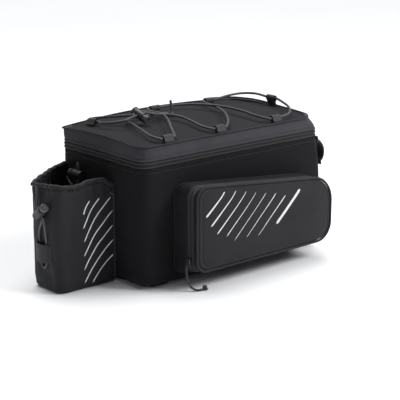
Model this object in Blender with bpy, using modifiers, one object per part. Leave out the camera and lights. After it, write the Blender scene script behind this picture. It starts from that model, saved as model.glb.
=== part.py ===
"""A soft trunk bag for the rack behind a bicycle's saddle.

The bag is a padded box with a crowned, zipped lid that carries elastic lacing. A zipped pocket
stands out from each side, and an open bottle pocket hangs on the rear wall.

Metres, +X to the bicycle's front, +Y to its left, +Z up. The origin is the middle of the base's
underside, the face that sits on a rack.
"""
import math

import bmesh
import bpy
from mathutils import Vector

# Clearance that touching pieces keep to each other
GAP = 0.0003

# Main bag
BODY_LENGTH = 0.320
BODY_WIDTH = 0.180
BODY_TOP = 0.166
# At the corners: near rear, near front, far front and far rear
CORNER_RADII = (0.018, 0.0085, 0.0085, 0.0085)
WALL = 0.003
FRONT_BELLY = 0.012
BOTTOM_ROUND = 0.007
BASE_THICKNESS = 0.007
BASE_INSET = 0.007
PAD_WIDTH = 0.068
PAD_INSET = 0.004
PAD_RADIUS = 0.004
STRAP_RECESS = 0.0036

# Main zip, a band between the walls and the lid
ZIP_HEIGHT = 0.0085
ZIP_THICKNESS = 0.0020
ZIP_COIL = 0.0016
SLIDER_LENGTH = 0.011
SLIDER_WIDTH = 0.008
SLIDER_THICKNESS = 0.0028

# Lid
LID_BAND = 0.018
LID_WALL = 0.003
LID_SLOPE_NEAR = 0.0045
LID_SLOPE_FRONT = 0.004
LID_SLOPE_HIDDEN = 0.0
LID_TOP_RADII = (0.018, 0.022, 0.010, 0.005)
ARCH_NEAR = 0.0004
ARCH_FAR = 0.008
CROWN = 0.005
LID_PIPING_RADIUS = 0.0012
PIPING_RADIUS = 0.0019

# Side pockets
SIDE_REAR = 0.109
SIDE_FRONT = 0.149
SIDE_BOTTOM = 0.014
SIDE_TOP_REAR = 0.141
SIDE_TOP_FRONT = 0.115
SIDE_DEPTH = 0.045
SIDE_TAPER = 0.006
SIDE_LIFT = 0.014
SIDE_RADIUS_REAR = 0.015
SIDE_RADIUS_LOW = 0.024
SIDE_RADIUS_HIGH = 0.036
SIDE_WALL = 0.0018
SIDE_INNER = 0.024
SIDE_ZIP = 0.012
FACE_THICKNESS = 0.0028
FACE_CROWN = 0.004

# Rear pocket
POCKET_DEPTH = 0.092
POCKET_NEAR = 0.028
POCKET_REAR_FAR = 0.029
POCKET_FAR = 0.083
POCKET_HEIGHT = 0.142
POCKET_FLOOR = 0.0012
POCKET_WALL = 0.0020
POCKET_RADIUS = 0.012
POCKET_RIM_DIP = 0.009
POCKET_RIM_RISE = 0.005
HEM_RADIUS = 0.0030

# Webbing band for a tail light
BAND_TOP = 0.066
BAND_HEIGHT = 0.025
BAND_PROUD = 0.0075
BAND_THICKNESS = 0.0014
BAND_MARGIN = 0.003

# Webbing tabs on the lid
TAB_WIDTH = 0.016
TAB_TONGUE = 0.0040
TAB_THICKNESS = 0.0011
TAB_EYE = 0.0030
TAB_EDGE = 0.0015
FAR_TAB_EDGE = 0.0255
REAR_TAB_EDGE = 0.0247
FRONT_TAB_EDGE = 0.0025
TAB_TILT = 8.0
FRONT_TAB_TONGUE = 0.0075
FRONT_TAB_TILT = 62.0
NEAR_TAB_PLACES = (-0.108, -0.0165, 0.088)
FAR_TAB_PLACES = (-0.022, 0.081)
REAR_TAB_SIDE = 0.0595
FRONT_TAB_SIDE = -0.002
LID_CLEARANCE = 0.0006

# Cords and their locks
BUNGEE_RADIUS = 0.00175
DRAWCORD_RADIUS = 0.0014
PULLER_RADIUS = 0.0015
KNOT_RADIUS = 0.0042
LOCK_RADIUS = 0.0064
LOCK_LENGTH = 0.019
LOCK_FLOOR = 0.002
BUTTON_RADIUS = 0.0046
BUTTON_HEAD_RADIUS = 0.0060
BUTTON_HEAD_LENGTH = 0.0050
BUTTON_TRAVEL = 0.0030
LOCK_SLOT_LENGTH = 0.0086
LOCK_SLOT_MARGIN = 0.0004
LOCK_PASS = 0.011
BEND_SPACING = 0.012

# Front loop of webbing
LOOP_INSET = 0.014
LOOP_WIDTH = 0.025
LOOP_TOP = 0.165
LOOP_HEIGHT = 0.043
LOOP_PROUD = 0.0085
LOOP_THICKNESS = 0.0022
LOOP_FOOT = 0.006

# Hook-and-loop straps, folded flat in the recess beside the base's pad
STRAP_WIDTH = 0.025
STRAP_LENGTH = 0.044
STRAP_THICKNESS = 0.0013
STRAP_PLY_GAP = 0.0005
STRAP_OUTER_EDGE = 0.081
STRAP_PLACES = (-0.125, -0.028, 0.075)

# Places that follow from the sizes above
HALF_LENGTH = BODY_LENGTH / 2
HALF_WIDTH = BODY_WIDTH / 2
ZIP_LOW = BODY_TOP + GAP
LID_LOW = ZIP_LOW + ZIP_HEIGHT + GAP
LID_EDGE = LID_LOW + LID_BAND
REAR_FACE = -HALF_LENGTH
POCKET_REAR = REAR_FACE - POCKET_DEPTH
SIDE_ZIP_START = SIDE_INNER + GAP
SIDE_ZIP_END = SIDE_ZIP_START + SIDE_ZIP
UP = Vector((0, 0, 1))

for leftover in list(bpy.data.objects):
    bpy.data.objects.remove(leftover, do_unlink=True)


def new_collection(name):
    """A collection of that name, in the scene and empty."""
    collection = bpy.data.collections.get(name)
    if collection is None:
        collection = bpy.data.collections.new(name)
        bpy.context.scene.collection.children.link(collection)
    return collection


BAG = new_collection("rack_trunk_bag")
CUTTERS = new_collection("rack_trunk_bag_cutters")

FABRIC = ((0.030, 0.031, 0.034), 0.86, 0.0)
PADDED = ((0.042, 0.043, 0.047), 0.88, 0.0)
WEBBING = ((0.022, 0.022, 0.024), 0.80, 0.0)
CORD = ((0.035, 0.035, 0.038), 0.62, 0.0)
PLASTIC = ((0.020, 0.020, 0.021), 0.42, 0.0)
TAPE = ((0.018, 0.018, 0.020), 0.70, 0.0)
METAL = ((0.055, 0.055, 0.058), 0.35, 0.8)


def finish(thing, look, smooth_below=40):
    """Gives a piece its own material, and shades it smooth up to an angle."""
    colour, roughness, metallic = look
    material = bpy.data.materials.new(thing.name + "_finish")
    material.use_nodes = True
    shader = material.node_tree.nodes["Principled BSDF"]
    shader.inputs["Base Color"].default_value = (*colour, 1.0)
    shader.inputs["Roughness"].default_value = roughness
    shader.inputs["Metallic"].default_value = metallic
    thing.data.materials.append(material)
    if thing.type == "MESH":
        thing.data.shade_smooth()
        thing.data.set_sharp_from_angle(angle=math.radians(smooth_below))
    return thing


def mesh_object(name, bm, collection=BAG):
    """Turns a bmesh into an object in a collection."""
    mesh = bpy.data.meshes.new(name)
    bm.to_mesh(mesh)
    bm.free()
    thing = bpy.data.objects.new(name, mesh)
    collection.objects.link(thing)
    return thing


def loft(name, rings, closed=True, around=False, cap_low=False, cap_high=False):
    """Skins a row of rings, each the same count of points, running the way that faces outwards."""
    bm = bmesh.new()
    rows = [[bm.verts.new(point) for point in ring] for ring in rings]
    count = len(rows[0])
    pairs = list(zip(rows, rows[1:]))
    if around:
        pairs.append((rows[-1], rows[0]))
    for low, high in pairs:
        for i in range(count if closed else count - 1):
            j = (i + 1) % count
            bm.faces.new((low[i], low[j], high[j], high[i]))
    if cap_low:
        bm.faces.new(list(reversed(rows[0])))
    if cap_high:
        bm.faces.new(rows[-1])
    return mesh_object(name, bm)


def thicken(thing, thickness, offset=-1.0):
    """Gives an open surface its wall, inwards unless told otherwise."""
    wall = thing.modifiers.new("wall", "SOLIDIFY")
    wall.thickness = thickness
    wall.offset = offset
    wall.use_even_offset = True
    wall.use_quality_normals = True
    return thing


def rounded_outline(corners, radii, arc_steps=4, side_steps=1):
    """Counter-clockwise outline of a polygon with round corners, as point and normal pairs."""
    outline = []
    count = len(corners)
    arcs = []
    for i, (corner, radius) in enumerate(zip(corners, radii)):
        here = Vector(corner)
        before = (Vector(corners[i - 1]) - here).normalized()
        after = (Vector(corners[(i + 1) % count]) - here).normalized()
        half = before.angle(after) / 2
        middle = here + (before + after).normalized() * (radius / math.sin(half))
        first = Vector((before.y, -before.x)) * -1
        last = Vector((-after.y, after.x)) * -1
        turn = math.atan2(first.x * last.y - first.y * last.x, first.dot(last))
        arc = []
        for step in range(arc_steps + 1):
            angle = turn * step / arc_steps
            normal = Vector((first.x * math.cos(angle) - first.y * math.sin(angle),
                             first.x * math.sin(angle) + first.y * math.cos(angle)))
            arc.append((middle + normal * radius, normal))
        arcs.append(arc)
    for i, arc in enumerate(arcs):
        outline.extend(arc)
        end = arc[-1]
        start = arcs[(i + 1) % count][0]
        for step in range(1, side_steps):
            share = step / side_steps
            outline.append((end[0].lerp(start[0], share), end[1].lerp(start[1], share).normalized()))
    return outline


def box_outline(rear, front, right, left, radii, arc_steps=4, side_steps=1):
    """The outline of a rounded box seen from above."""
    corners = ((rear, right), (front, right), (front, left), (rear, left))
    return rounded_outline(corners, radii, arc_steps, side_steps)


def flat_ring(outline, height, offset=0.0):
    """An outline moved out by an offset and laid at a height."""
    return [Vector((*(point + normal * offset), height)) for point, normal in outline]


def front_face(height):
    """How far forward the front wall reaches at a height: it bellies out below the lid."""
    share = min(max(height / BODY_TOP, 0.0), 1.0)
    return HALF_LENGTH + FRONT_BELLY * math.sin(math.pi * share) ** 0.8


def smooth_path(points, count):
    """Points on a smooth curve through the given ones, closer together where it bends."""
    points = [Vector(point) for point in points]
    ends = [points[0] * 2 - points[1]] + points + [points[-1] * 2 - points[-2]]
    fine = []
    per_span = 16
    for a, b, c, d in zip(ends, ends[1:], ends[2:], ends[3:]):
        for step in range(per_span):
            t = step / per_span
            fine.append(0.5 * ((2 * b) + (c - a) * t + (2 * a - 5 * b + 4 * c - d) * t ** 2
                               + (3 * b - a - 3 * c + d) * t ** 3))
    fine.append(points[-1])
    measure = [0.0]
    for i, (here, there) in enumerate(zip(fine, fine[1:])):
        turn = (here - fine[i - 1]).angle(there - here) if i else 0.0
        measure.append(measure[-1] + (there - here).length + BEND_SPACING * turn)
    spaced = []
    i = 0
    for step in range(count):
        want = measure[-1] * step / (count - 1)
        while i < len(measure) - 2 and measure[i + 1] < want:
            i += 1
        share = (want - measure[i]) / (measure[i + 1] - measure[i])
        spaced.append(fine[i].lerp(fine[i + 1], min(share, 1.0)))
    return spaced


def tube(name, points, radius, resolution=2, cyclic=False):
    """A round cord or piping along a row of points."""
    curve = bpy.data.curves.new(name, "CURVE")
    curve.dimensions = "3D"
    curve.bevel_depth = radius
    curve.bevel_resolution = resolution
    curve.use_fill_caps = not cyclic
    spline = curve.splines.new("POLY")
    spline.points.add(len(points) - 1)
    for target, point in zip(spline.points, points):
        target.co = (*point, 1.0)
    spline.use_cyclic_u = cyclic
    thing = bpy.data.objects.new(name, curve)
    BAG.objects.link(thing)
    return thing


def strip(name, path, across, width, thickness):
    """Webbing that follows a path, its width centred on the path along a direction."""
    half = Vector(across).normalized() * (width / 2)
    rows = [[Vector(point) - half for point in path], [Vector(point) + half for point in path]]
    return thicken(loft(name, rows, closed=False), thickness, offset=0.0)


# Main bag: padded walls and floor, on a stiff base

def make_body():
    """The padded box, open at the top, whose front wall bellies out."""
    floor = BASE_THICKNESS + GAP
    levels = [(floor, -BOTTOM_ROUND)]
    for step in range(1, 4):
        angle = math.radians(30 * step)
        levels.append((floor + BOTTOM_ROUND * (1 - math.cos(angle)),
                       -BOTTOM_ROUND * (1 - math.sin(angle))))
    wall_steps = 6
    start = levels[-1][0]
    for step in range(1, wall_steps + 1):
        levels.append((start + (BODY_TOP - start) * step / wall_steps, 0.0))
    rings = []
    for height, offset in levels:
        outline = box_outline(REAR_FACE, front_face(height), -HALF_WIDTH, HALF_WIDTH,
                              CORNER_RADII, side_steps=2)
        rings.append(flat_ring(outline, height, offset))
    body = loft("body_shell", rings, cap_low=True)
    return finish(thicken(body, WALL), PADDED)


def make_base():
    """A board under the floor, with a pad along its middle that stands on the rack."""
    end = HALF_LENGTH - BASE_INSET
    side = HALF_WIDTH - BASE_INSET
    pad = box_outline(PAD_INSET - end, end - PAD_INSET, -PAD_WIDTH / 2, PAD_WIDTH / 2,
                      (PAD_RADIUS,) * 4)
    board = box_outline(-end, end, -side, side, CORNER_RADII)
    edge = (BASE_THICKNESS - STRAP_RECESS) / 3
    rings = [flat_ring(pad, 0.0, -edge), flat_ring(pad, edge), flat_ring(pad, STRAP_RECESS),
             flat_ring(board, STRAP_RECESS, -edge), flat_ring(board, STRAP_RECESS + edge),
             flat_ring(board, BASE_THICKNESS)]
    base = loft("base_panel", rings, cap_low=True, cap_high=True)
    return finish(base, PLASTIC)


def make_main_zip():
    """Tape round the bag's mouth, with the coil standing out along its middle."""
    middle = ZIP_LOW + ZIP_HEIGHT / 2
    coil = ZIP_HEIGHT / 5
    high = ZIP_LOW + ZIP_HEIGHT
    inside = -ZIP_THICKNESS
    profile = ((inside, ZIP_LOW), (0.0, ZIP_LOW), (0.0, middle - coil),
               (ZIP_COIL, middle - coil / 2), (ZIP_COIL, middle + coil / 2),
               (0.0, middle + coil), (0.0, high), (inside, high))
    outline = box_outline(REAR_FACE, HALF_LENGTH, -HALF_WIDTH, HALF_WIDTH, CORNER_RADII)
    rings = [flat_ring(outline, height, offset) for offset, height in profile]
    return finish(loft("main_zip", rings, around=True), TAPE, 30)


def slider(name, middle, along, out):
    """A zip slider: a small rounded block that sits on the coil."""
    along = Vector(along).normalized()
    out = Vector(out).normalized()
    side = out.cross(along)
    bm = bmesh.new()
    bmesh.ops.create_cube(bm, size=1.0)
    for vert in bm.verts:
        u, v, w = vert.co
        narrow = 0.7 if u > 0 else 1.0
        vert.co = (Vector(middle) + along * (u * SLIDER_LENGTH) + side * (v * SLIDER_WIDTH * narrow)
                   + out * ((w + 0.5) * SLIDER_THICKNESS))
    thing = mesh_object(name, bm)
    edge = thing.modifiers.new("edge", "BEVEL")
    edge.width = SLIDER_THICKNESS / 4
    edge.segments = 2
    return finish(thing, METAL)


# Lid: a band that slopes in from the zip to a crowned top

def lid_top(x, y):
    """Height of the lid's top: arched along the bag, more so on the far edge, and crowned across."""
    along = max(1 - (x / HALF_LENGTH) ** 2, 0.0)
    across = max(1 - (y / HALF_WIDTH) ** 2, 0.0)
    share = min(max(0.5 + y / BODY_WIDTH, 0.0), 1.0)
    arch = ARCH_NEAR + (ARCH_FAR - ARCH_NEAR) * share
    return LID_EDGE + arch * along + CROWN * across


def lid_outline(slope):
    """The lid's outline, drawn in by a share of its slopes."""
    radii = [low + (top - low) * slope for low, top in zip(CORNER_RADII, LID_TOP_RADII)]
    return box_outline(REAR_FACE + LID_SLOPE_HIDDEN * slope, HALF_LENGTH - LID_SLOPE_FRONT * slope,
                       LID_SLOPE_NEAR * slope - HALF_WIDTH, HALF_WIDTH - LID_SLOPE_HIDDEN * slope,
                       radii, side_steps=4)


def on_lid(point):
    """A point of the lid's outline, raised to the lid's top."""
    return Vector((point.x, point.y, lid_top(point.x, point.y)))


def make_lid():
    """Band and top in one shell, open below."""
    rings = []
    for share, slope in ((0.0, 0.0), (0.2, 0.0), (0.5, 0.3), (0.8, 0.68), (1.0, 1.0)):
        outline = lid_outline(slope)
        ring = []
        for point, _ in outline:
            top = lid_top(point.x, point.y)
            ring.append(Vector((point.x, point.y, LID_LOW + (top - LID_LOW) * share)))
        rings.append(ring)
    edge = [point for point, _ in lid_outline(1.0)]
    middle = Vector(((edge[0].x + HALF_LENGTH - LID_SLOPE_FRONT) / 2, 0.0))
    for scale in (0.92, 0.73, 0.46, 0.16):
        rings.append([on_lid(middle + (point - middle) * scale) for point in edge])
    lid = loft("lid", rings, cap_high=True)
    return finish(thicken(lid, LID_WALL), FABRIC, 50)


def make_lid_piping():
    """Corded edge that stands out where the band meets the top."""
    reach = (LID_PIPING_RADIUS + LID_CLEARANCE) * math.sqrt(0.5)
    points = []
    for point, normal in lid_outline(1.0):
        out = point + normal * reach
        points.append(Vector((out.x, out.y, lid_top(point.x, point.y) + reach)))
    return finish(tube("lid_piping", points, LID_PIPING_RADIUS, resolution=1, cyclic=True), PADDED)


def tab_profile(tilt, tongue=TAB_TONGUE):
    """A tab's section, as reach and lift: two plies from the seam, with an eye at the end."""
    low = TAB_THICKNESS / 2
    high = low + TAB_THICKNESS + GAP
    radius = TAB_EYE + TAB_THICKNESS / 2
    centre = Vector((tongue + radius, low + radius))
    stop = math.pi - math.asin((centre.y - high) / radius)
    flat = [(0.0, low), (tongue / 2, low)]
    steps = 9
    for step in range(steps + 1):
        angle = -math.pi / 2 + (stop + math.pi / 2) * step / steps
        flat.append((centre.x + radius * math.cos(angle), centre.y + radius * math.sin(angle)))
    flat += [(tongue / 2, high), (0.0, high)]
    lean = math.radians(tilt)
    lifted = []
    for reach, lift in flat + [centre]:
        lifted.append((reach * math.cos(lean) - lift * math.sin(lean),
                       reach * math.sin(lean) + lift * math.cos(lean) + LID_CLEARANCE))
    return lifted[:-1], lifted[-1]


def lid_tab(name, root, inwards, tilt, tongue=TAB_TONGUE):
    """A webbing tab sewn at the lid's edge, that the cord pulls up at a tilt."""
    root = Vector(root)
    inwards = Vector(inwards)
    across = Vector((-inwards.y, inwards.x))
    rows = []
    for side in (-0.5, 0.0, 0.5):
        row = []
        for reach, lift in tab_profile(tilt, tongue)[0]:
            place = root + inwards * reach + across * (side * TAB_WIDTH)
            row.append(Vector((place.x, place.y, lid_top(place.x, place.y) + lift)))
        rows.append(row)
    tab = thicken(loft(name, rows, closed=False), TAB_THICKNESS, offset=0.0)
    return finish(tab, WEBBING)


EYE_REACH, EYE_LIFT = tab_profile(TAB_TILT)[1]
FRONT_EYE_REACH, FRONT_EYE_LIFT = tab_profile(FRONT_TAB_TILT, FRONT_TAB_TONGUE)[1]
NEAR_TAB_ROOT = LID_SLOPE_NEAR - HALF_WIDTH + TAB_EDGE
FAR_TAB_ROOT = HALF_WIDTH - LID_SLOPE_HIDDEN - FAR_TAB_EDGE
REAR_TAB_ROOT = LID_SLOPE_HIDDEN - HALF_LENGTH + REAR_TAB_EDGE
FRONT_TAB_ROOT = HALF_LENGTH - LID_SLOPE_FRONT - FRONT_TAB_EDGE


def make_lid_tabs():
    """Three tabs on the near edge, two on the far one, and one at each end."""
    for number, place in enumerate(NEAR_TAB_PLACES, 1):
        lid_tab(f"lid_tab_near_{number}", (place, NEAR_TAB_ROOT), (0, 1), TAB_TILT)
    for number, place in enumerate(FAR_TAB_PLACES, 1):
        lid_tab(f"lid_tab_far_{number}", (place, FAR_TAB_ROOT), (0, -1), TAB_TILT)
    lid_tab("lid_tab_rear", (REAR_TAB_ROOT, REAR_TAB_SIDE), (1, 0), TAB_TILT)
    lid_tab("lid_tab_front", (FRONT_TAB_ROOT, FRONT_TAB_SIDE), (-1, 0), FRONT_TAB_TILT,
            FRONT_TAB_TONGUE)


# Cord locks: a barrel with a bore, and a sprung button that slides in it

def turned(name, profile, origin, axis, collection=BAG, sides=16):
    """A closed turned solid: a profile of radius and height, from one pole to the other."""
    axis = Vector(axis).normalized()
    turn = axis.to_track_quat("Z", "Y")
    bm = bmesh.new()
    rows = []
    for radius, height in profile:
        if radius == 0:
            rows.append([bm.verts.new(Vector(origin) + turn @ Vector((0, 0, height)))])
        else:
            rows.append([bm.verts.new(Vector(origin) + turn @ Vector(
                (radius * math.cos(2 * math.pi * i / sides),
                 radius * math.sin(2 * math.pi * i / sides), height))) for i in range(sides)])
    for low, high in zip(rows, rows[1:]):
        for i in range(sides):
            j = (i + 1) % sides
            if len(low) == 1:
                bm.faces.new((low[0], high[j], high[i]))
            elif len(high) == 1:
                bm.faces.new((low[i], low[j], high[0]))
            else:
                bm.faces.new((low[i], low[j], high[j], high[i]))
    bmesh.ops.recalc_face_normals(bm, faces=bm.faces)
    return mesh_object(name, bm, collection)


def slot_cutter(name, centre, axis, passing, length, height):
    """A round-ended slot through a lock, long along its axis."""
    axis = Vector(axis).normalized()
    passing = Vector(passing).normalized()
    side = axis.cross(passing)
    radius = height / 2
    reach = length / 2 - radius
    ring = []
    steps = 6
    for end, first in ((1, -90), (-1, 90)):
        for step in range(steps + 1):
            angle = math.radians(first + 180 * step / steps)
            ring.append((axis * (end * reach + radius * math.cos(angle)),
                         side * (radius * math.sin(angle))))
    bm = bmesh.new()
    ends = []
    for way in (-1, 1):
        ends.append([bm.verts.new(Vector(centre) + passing * (way * LOCK_RADIUS * 1.6) + a + s)
                     for a, s in ring])
    count = len(ring)
    for i in range(count):
        j = (i + 1) % count
        bm.faces.new((ends[0][i], ends[0][j], ends[1][j], ends[1][i]))
    bm.faces.new(ends[0])
    bm.faces.new(ends[1])
    bmesh.ops.recalc_face_normals(bm, faces=bm.faces)
    cutter = mesh_object(name, bm, CUTTERS)
    cutter.hide_render = True
    cutter.display_type = "WIRE"
    return cutter


def cut(thing, cutter):
    """Cuts one solid by another."""
    boolean = thing.modifiers.new("cut", "BOOLEAN")
    boolean.operation = "DIFFERENCE"
    boolean.object = cutter
    return thing


def cord_lock(name, middle, axis, passing, cord_radius):
    """A lock whose slot is centred on a point; axis points out of the button."""
    axis = Vector(axis).normalized()
    middle = Vector(middle)
    slot_height = 2 * (cord_radius + LOCK_SLOT_MARGIN)
    bottom = middle - axis * (LOCK_LENGTH / 2)
    lip = LOCK_RADIUS / 6
    barrel_profile = ((0, 0), (LOCK_RADIUS - lip, 0), (LOCK_RADIUS, lip),
                      (LOCK_RADIUS, LOCK_LENGTH - lip / 2), (LOCK_RADIUS - lip / 2, LOCK_LENGTH),
                      (BUTTON_RADIUS + GAP, LOCK_LENGTH), (BUTTON_RADIUS + GAP, LOCK_FLOOR),
                      (0, LOCK_FLOOR))
    barrel = turned(name + "_barrel", barrel_profile, bottom, axis)
    cut(barrel, slot_cutter(name + "_barrel_slot", middle, axis, passing, LOCK_SLOT_LENGTH,
                            slot_height))
    finish(barrel, PLASTIC)
    foot = LOCK_FLOOR + BUTTON_TRAVEL + GAP
    head = LOCK_LENGTH + BUTTON_TRAVEL + GAP
    top = head + BUTTON_HEAD_LENGTH
    button_profile = ((0, foot), (BUTTON_RADIUS, foot), (BUTTON_RADIUS, head),
                      (BUTTON_HEAD_RADIUS, head), (BUTTON_HEAD_RADIUS, top - lip),
                      (BUTTON_HEAD_RADIUS - lip, top - lip / 4), (BUTTON_HEAD_RADIUS / 2, top),
                      (0, top))
    button = turned(name + "_button", button_profile, bottom, axis)
    long_slot = LOCK_SLOT_LENGTH + 2 * BUTTON_TRAVEL
    cut(button, slot_cutter(name + "_button_slot", middle, axis, passing, long_slot, slot_height))
    finish(button, PLASTIC)


# The lid's lacing: one elastic cord through seven tabs and a lock, its ends knotted together

LID_LOCK_PLACE = (-0.086, 0.012)
LID_LOCK_LIFT = 0.0140
LID_LOCK_AXIS = Vector((0.16, -0.91, -0.39)).normalized()
LID_LOCK_PASSING = (Vector((1, 0, 0)) - LID_LOCK_AXIS * LID_LOCK_AXIS.x).normalized()
LID_LOCK = Vector((*LID_LOCK_PLACE, lid_top(*LID_LOCK_PLACE) + LID_LOCK_LIFT))
KNOT_PLACE = (-0.0225, 0.0195)
KNOT_LIFT = KNOT_RADIUS + LID_CLEARANCE
KNOT = Vector((*KNOT_PLACE, lid_top(*KNOT_PLACE) + KNOT_LIFT))


def through(root, inwards, reach, lift, way):
    """Points straight through a tab's eye, as places and lifts; way is 1 or -1 across the tab."""
    middle = Vector(root) + Vector(inwards) * reach
    across = Vector((abs(inwards[1]), abs(inwards[0]))) * way
    stations = (-TAB_WIDTH * 0.78, -TAB_WIDTH * 0.52, TAB_WIDTH * 0.52, TAB_WIDTH * 0.78)
    places = [middle + across * station for station in stations]
    return [(place.x, place.y, lift) for place in places]


def through_near(number, way):
    """The cord's pass through a near tab, forwards for a way of 1."""
    return through((NEAR_TAB_PLACES[number - 1], NEAR_TAB_ROOT), (0, 1), EYE_REACH, EYE_LIFT, way)


def through_far(number, way):
    """The cord's pass through a far tab, forwards for a way of 1."""
    return through((FAR_TAB_PLACES[number - 1], FAR_TAB_ROOT), (0, -1), EYE_REACH, EYE_LIFT, way)


def in_lock(along_cord, along_axis):
    """A point in the lid's lock, as place and lift."""
    point = LID_LOCK + LID_LOCK_PASSING * along_cord + LID_LOCK_AXIS * along_axis
    return (point.x, point.y, point.z - lid_top(point.x, point.y))


def bungee_route():
    """The cord's route from the knot round to the knot, as places on the lid and lifts over it."""
    through_rear = through((REAR_TAB_ROOT, REAR_TAB_SIDE), (1, 0), EYE_REACH, EYE_LIFT, -1)
    through_front = through((FRONT_TAB_ROOT, FRONT_TAB_SIDE), (-1, 0), FRONT_EYE_REACH,
                            FRONT_EYE_LIFT, -1)
    shift = LOCK_SLOT_LENGTH / 4
    lock_end = 0.013
    lock_side = 0.007
    knot_side = KNOT_PLACE[0] - KNOT_RADIUS - GAP - BUNGEE_RADIUS / 2
    return (
        (knot_side, KNOT_PLACE[1] - 0.001, KNOT_LIFT),
        (-0.042, 0.0185, 0.0055), (-0.058, 0.019, 0.0100),
        in_lock(lock_end, -shift), in_lock(lock_side, -shift),
        in_lock(-lock_side, -shift), in_lock(-lock_end, -shift),
        (-0.110, 0.036, 0.0110), (-0.1160, 0.056, 0.0085), (-0.1200, 0.071, 0.0065),
        *through_rear,
        (-0.1330, 0.032, 0.0068), (-0.1275, 0.014, 0.0090), (-0.1130, 0.004, 0.0115),
        in_lock(-lock_end, shift), in_lock(-lock_side, shift),
        in_lock(lock_side, shift), in_lock(lock_end, shift),
        (-0.056, 0.010, 0.0090), (-0.040, 0.0065, 0.0070), (-0.030, -0.012, 0.0060),
        (-0.031, -0.036, 0.0055), (-0.034, -0.060, 0.0055),
        *through_near(2, 1),
        (0.009, -0.066, 0.0056), (0.0225, -0.050, 0.0055), (0.040, -0.024, 0.0055),
        (0.053, 0.008, 0.0055), (0.060, 0.038, 0.0055),
        *through_far(2, 1),
        (0.104, 0.0565, 0.0080), (0.122, 0.0555, 0.0110), (0.143, 0.051, 0.0130),
        (0.155, 0.036, 0.0132),
        *through_front,
        (0.1480, -0.030, 0.0105), (0.1430, -0.046, 0.0085), (0.1320, -0.062, 0.0068),
        (0.117, -0.073, 0.0060),
        *through_near(3, -1),
        (0.066, -0.058, 0.0068), (0.0640, -0.034, 0.0075), (0.0560, 0.002, 0.0075),
        (0.038, 0.032, 0.0072), (0.014, 0.051, 0.0065),
        *through_far(1, -1),
        (-0.0420, 0.040, 0.0066), (-0.0430, 0.014, 0.0068), (-0.0570, -0.016, 0.0066),
        (-0.0750, -0.044, 0.0062), (-0.0860, -0.062, 0.0059),
        *through_near(1, -1),
        (-0.1230, -0.060, 0.0055), (-0.1150, -0.030, 0.0055), (-0.105, 0.002, 0.0048),
        (-0.099, 0.022, 0.0040), (-0.086, 0.034, 0.0038), (-0.064, 0.034, 0.0036),
        (-0.042, 0.030, 0.0038),
        (knot_side, KNOT_PLACE[1] + 0.0035, KNOT_LIFT),
    )


def make_lacing():
    """Elastic cord, its knot with a free tail, and its lock."""
    points = [Vector((x, y, lid_top(x, y) + lift)) for x, y, lift in bungee_route()]
    finish(tube("bungee", smooth_path(points, 74), BUNGEE_RADIUS), CORD)
    knot_profile = [(0, -KNOT_RADIUS)]
    for step in range(1, 6):
        angle = math.radians(-90 + 30 * step)
        knot_profile.append((KNOT_RADIUS * math.cos(angle), KNOT_RADIUS * math.sin(angle)))
    knot_profile.append((0, KNOT_RADIUS))
    finish(turned("bungee_knot", knot_profile, KNOT, UP, sides=10), CORD, 60)
    tail = [KNOT + Vector(offset) for offset in
            ((0, 0, KNOT_RADIUS + GAP), (0.001, 0, 0.008), (0.001, 0.001, 0.012), (0, 0.001, 0.017))]
    finish(tube("bungee_tail", tail, BUNGEE_RADIUS), CORD)
    cord_lock("lid_lock", LID_LOCK, LID_LOCK_AXIS, LID_LOCK_PASSING, BUNGEE_RADIUS)


# Side pockets: a zipped gusset that carries a padded face

def side_outline(depth):
    """The pocket's outline at a depth from the wall, in the bag's length and height."""
    share = depth / SIDE_DEPTH
    taper = SIDE_TAPER * share
    low = SIDE_BOTTOM + SIDE_LIFT * share
    corners = ((-SIDE_REAR + taper, low), (SIDE_FRONT - taper, low),
               (SIDE_FRONT - taper, SIDE_TOP_FRONT), (-SIDE_REAR + taper, SIDE_TOP_REAR))
    radii = (SIDE_RADIUS_REAR, SIDE_RADIUS_LOW, SIDE_RADIUS_HIGH, SIDE_RADIUS_REAR)
    return rounded_outline(corners, radii)


def side_ring(side, depth, offset=0.0):
    """A ring of the pocket, standing off the bag's wall; it runs so that it faces outwards."""
    y = side * (HALF_WIDTH + GAP + depth)
    ring = [Vector(((point + normal * offset).x, y, (point + normal * offset).y))
            for point, normal in side_outline(depth)]
    return ring if side < 0 else list(reversed(ring))


def fabric_profile(start, end):
    """A gusset's wall between two depths, as offsets and depths round its section."""
    return ((-SIDE_WALL, start), (0.0, start), (0.0, end), (-SIDE_WALL, end))


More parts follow.
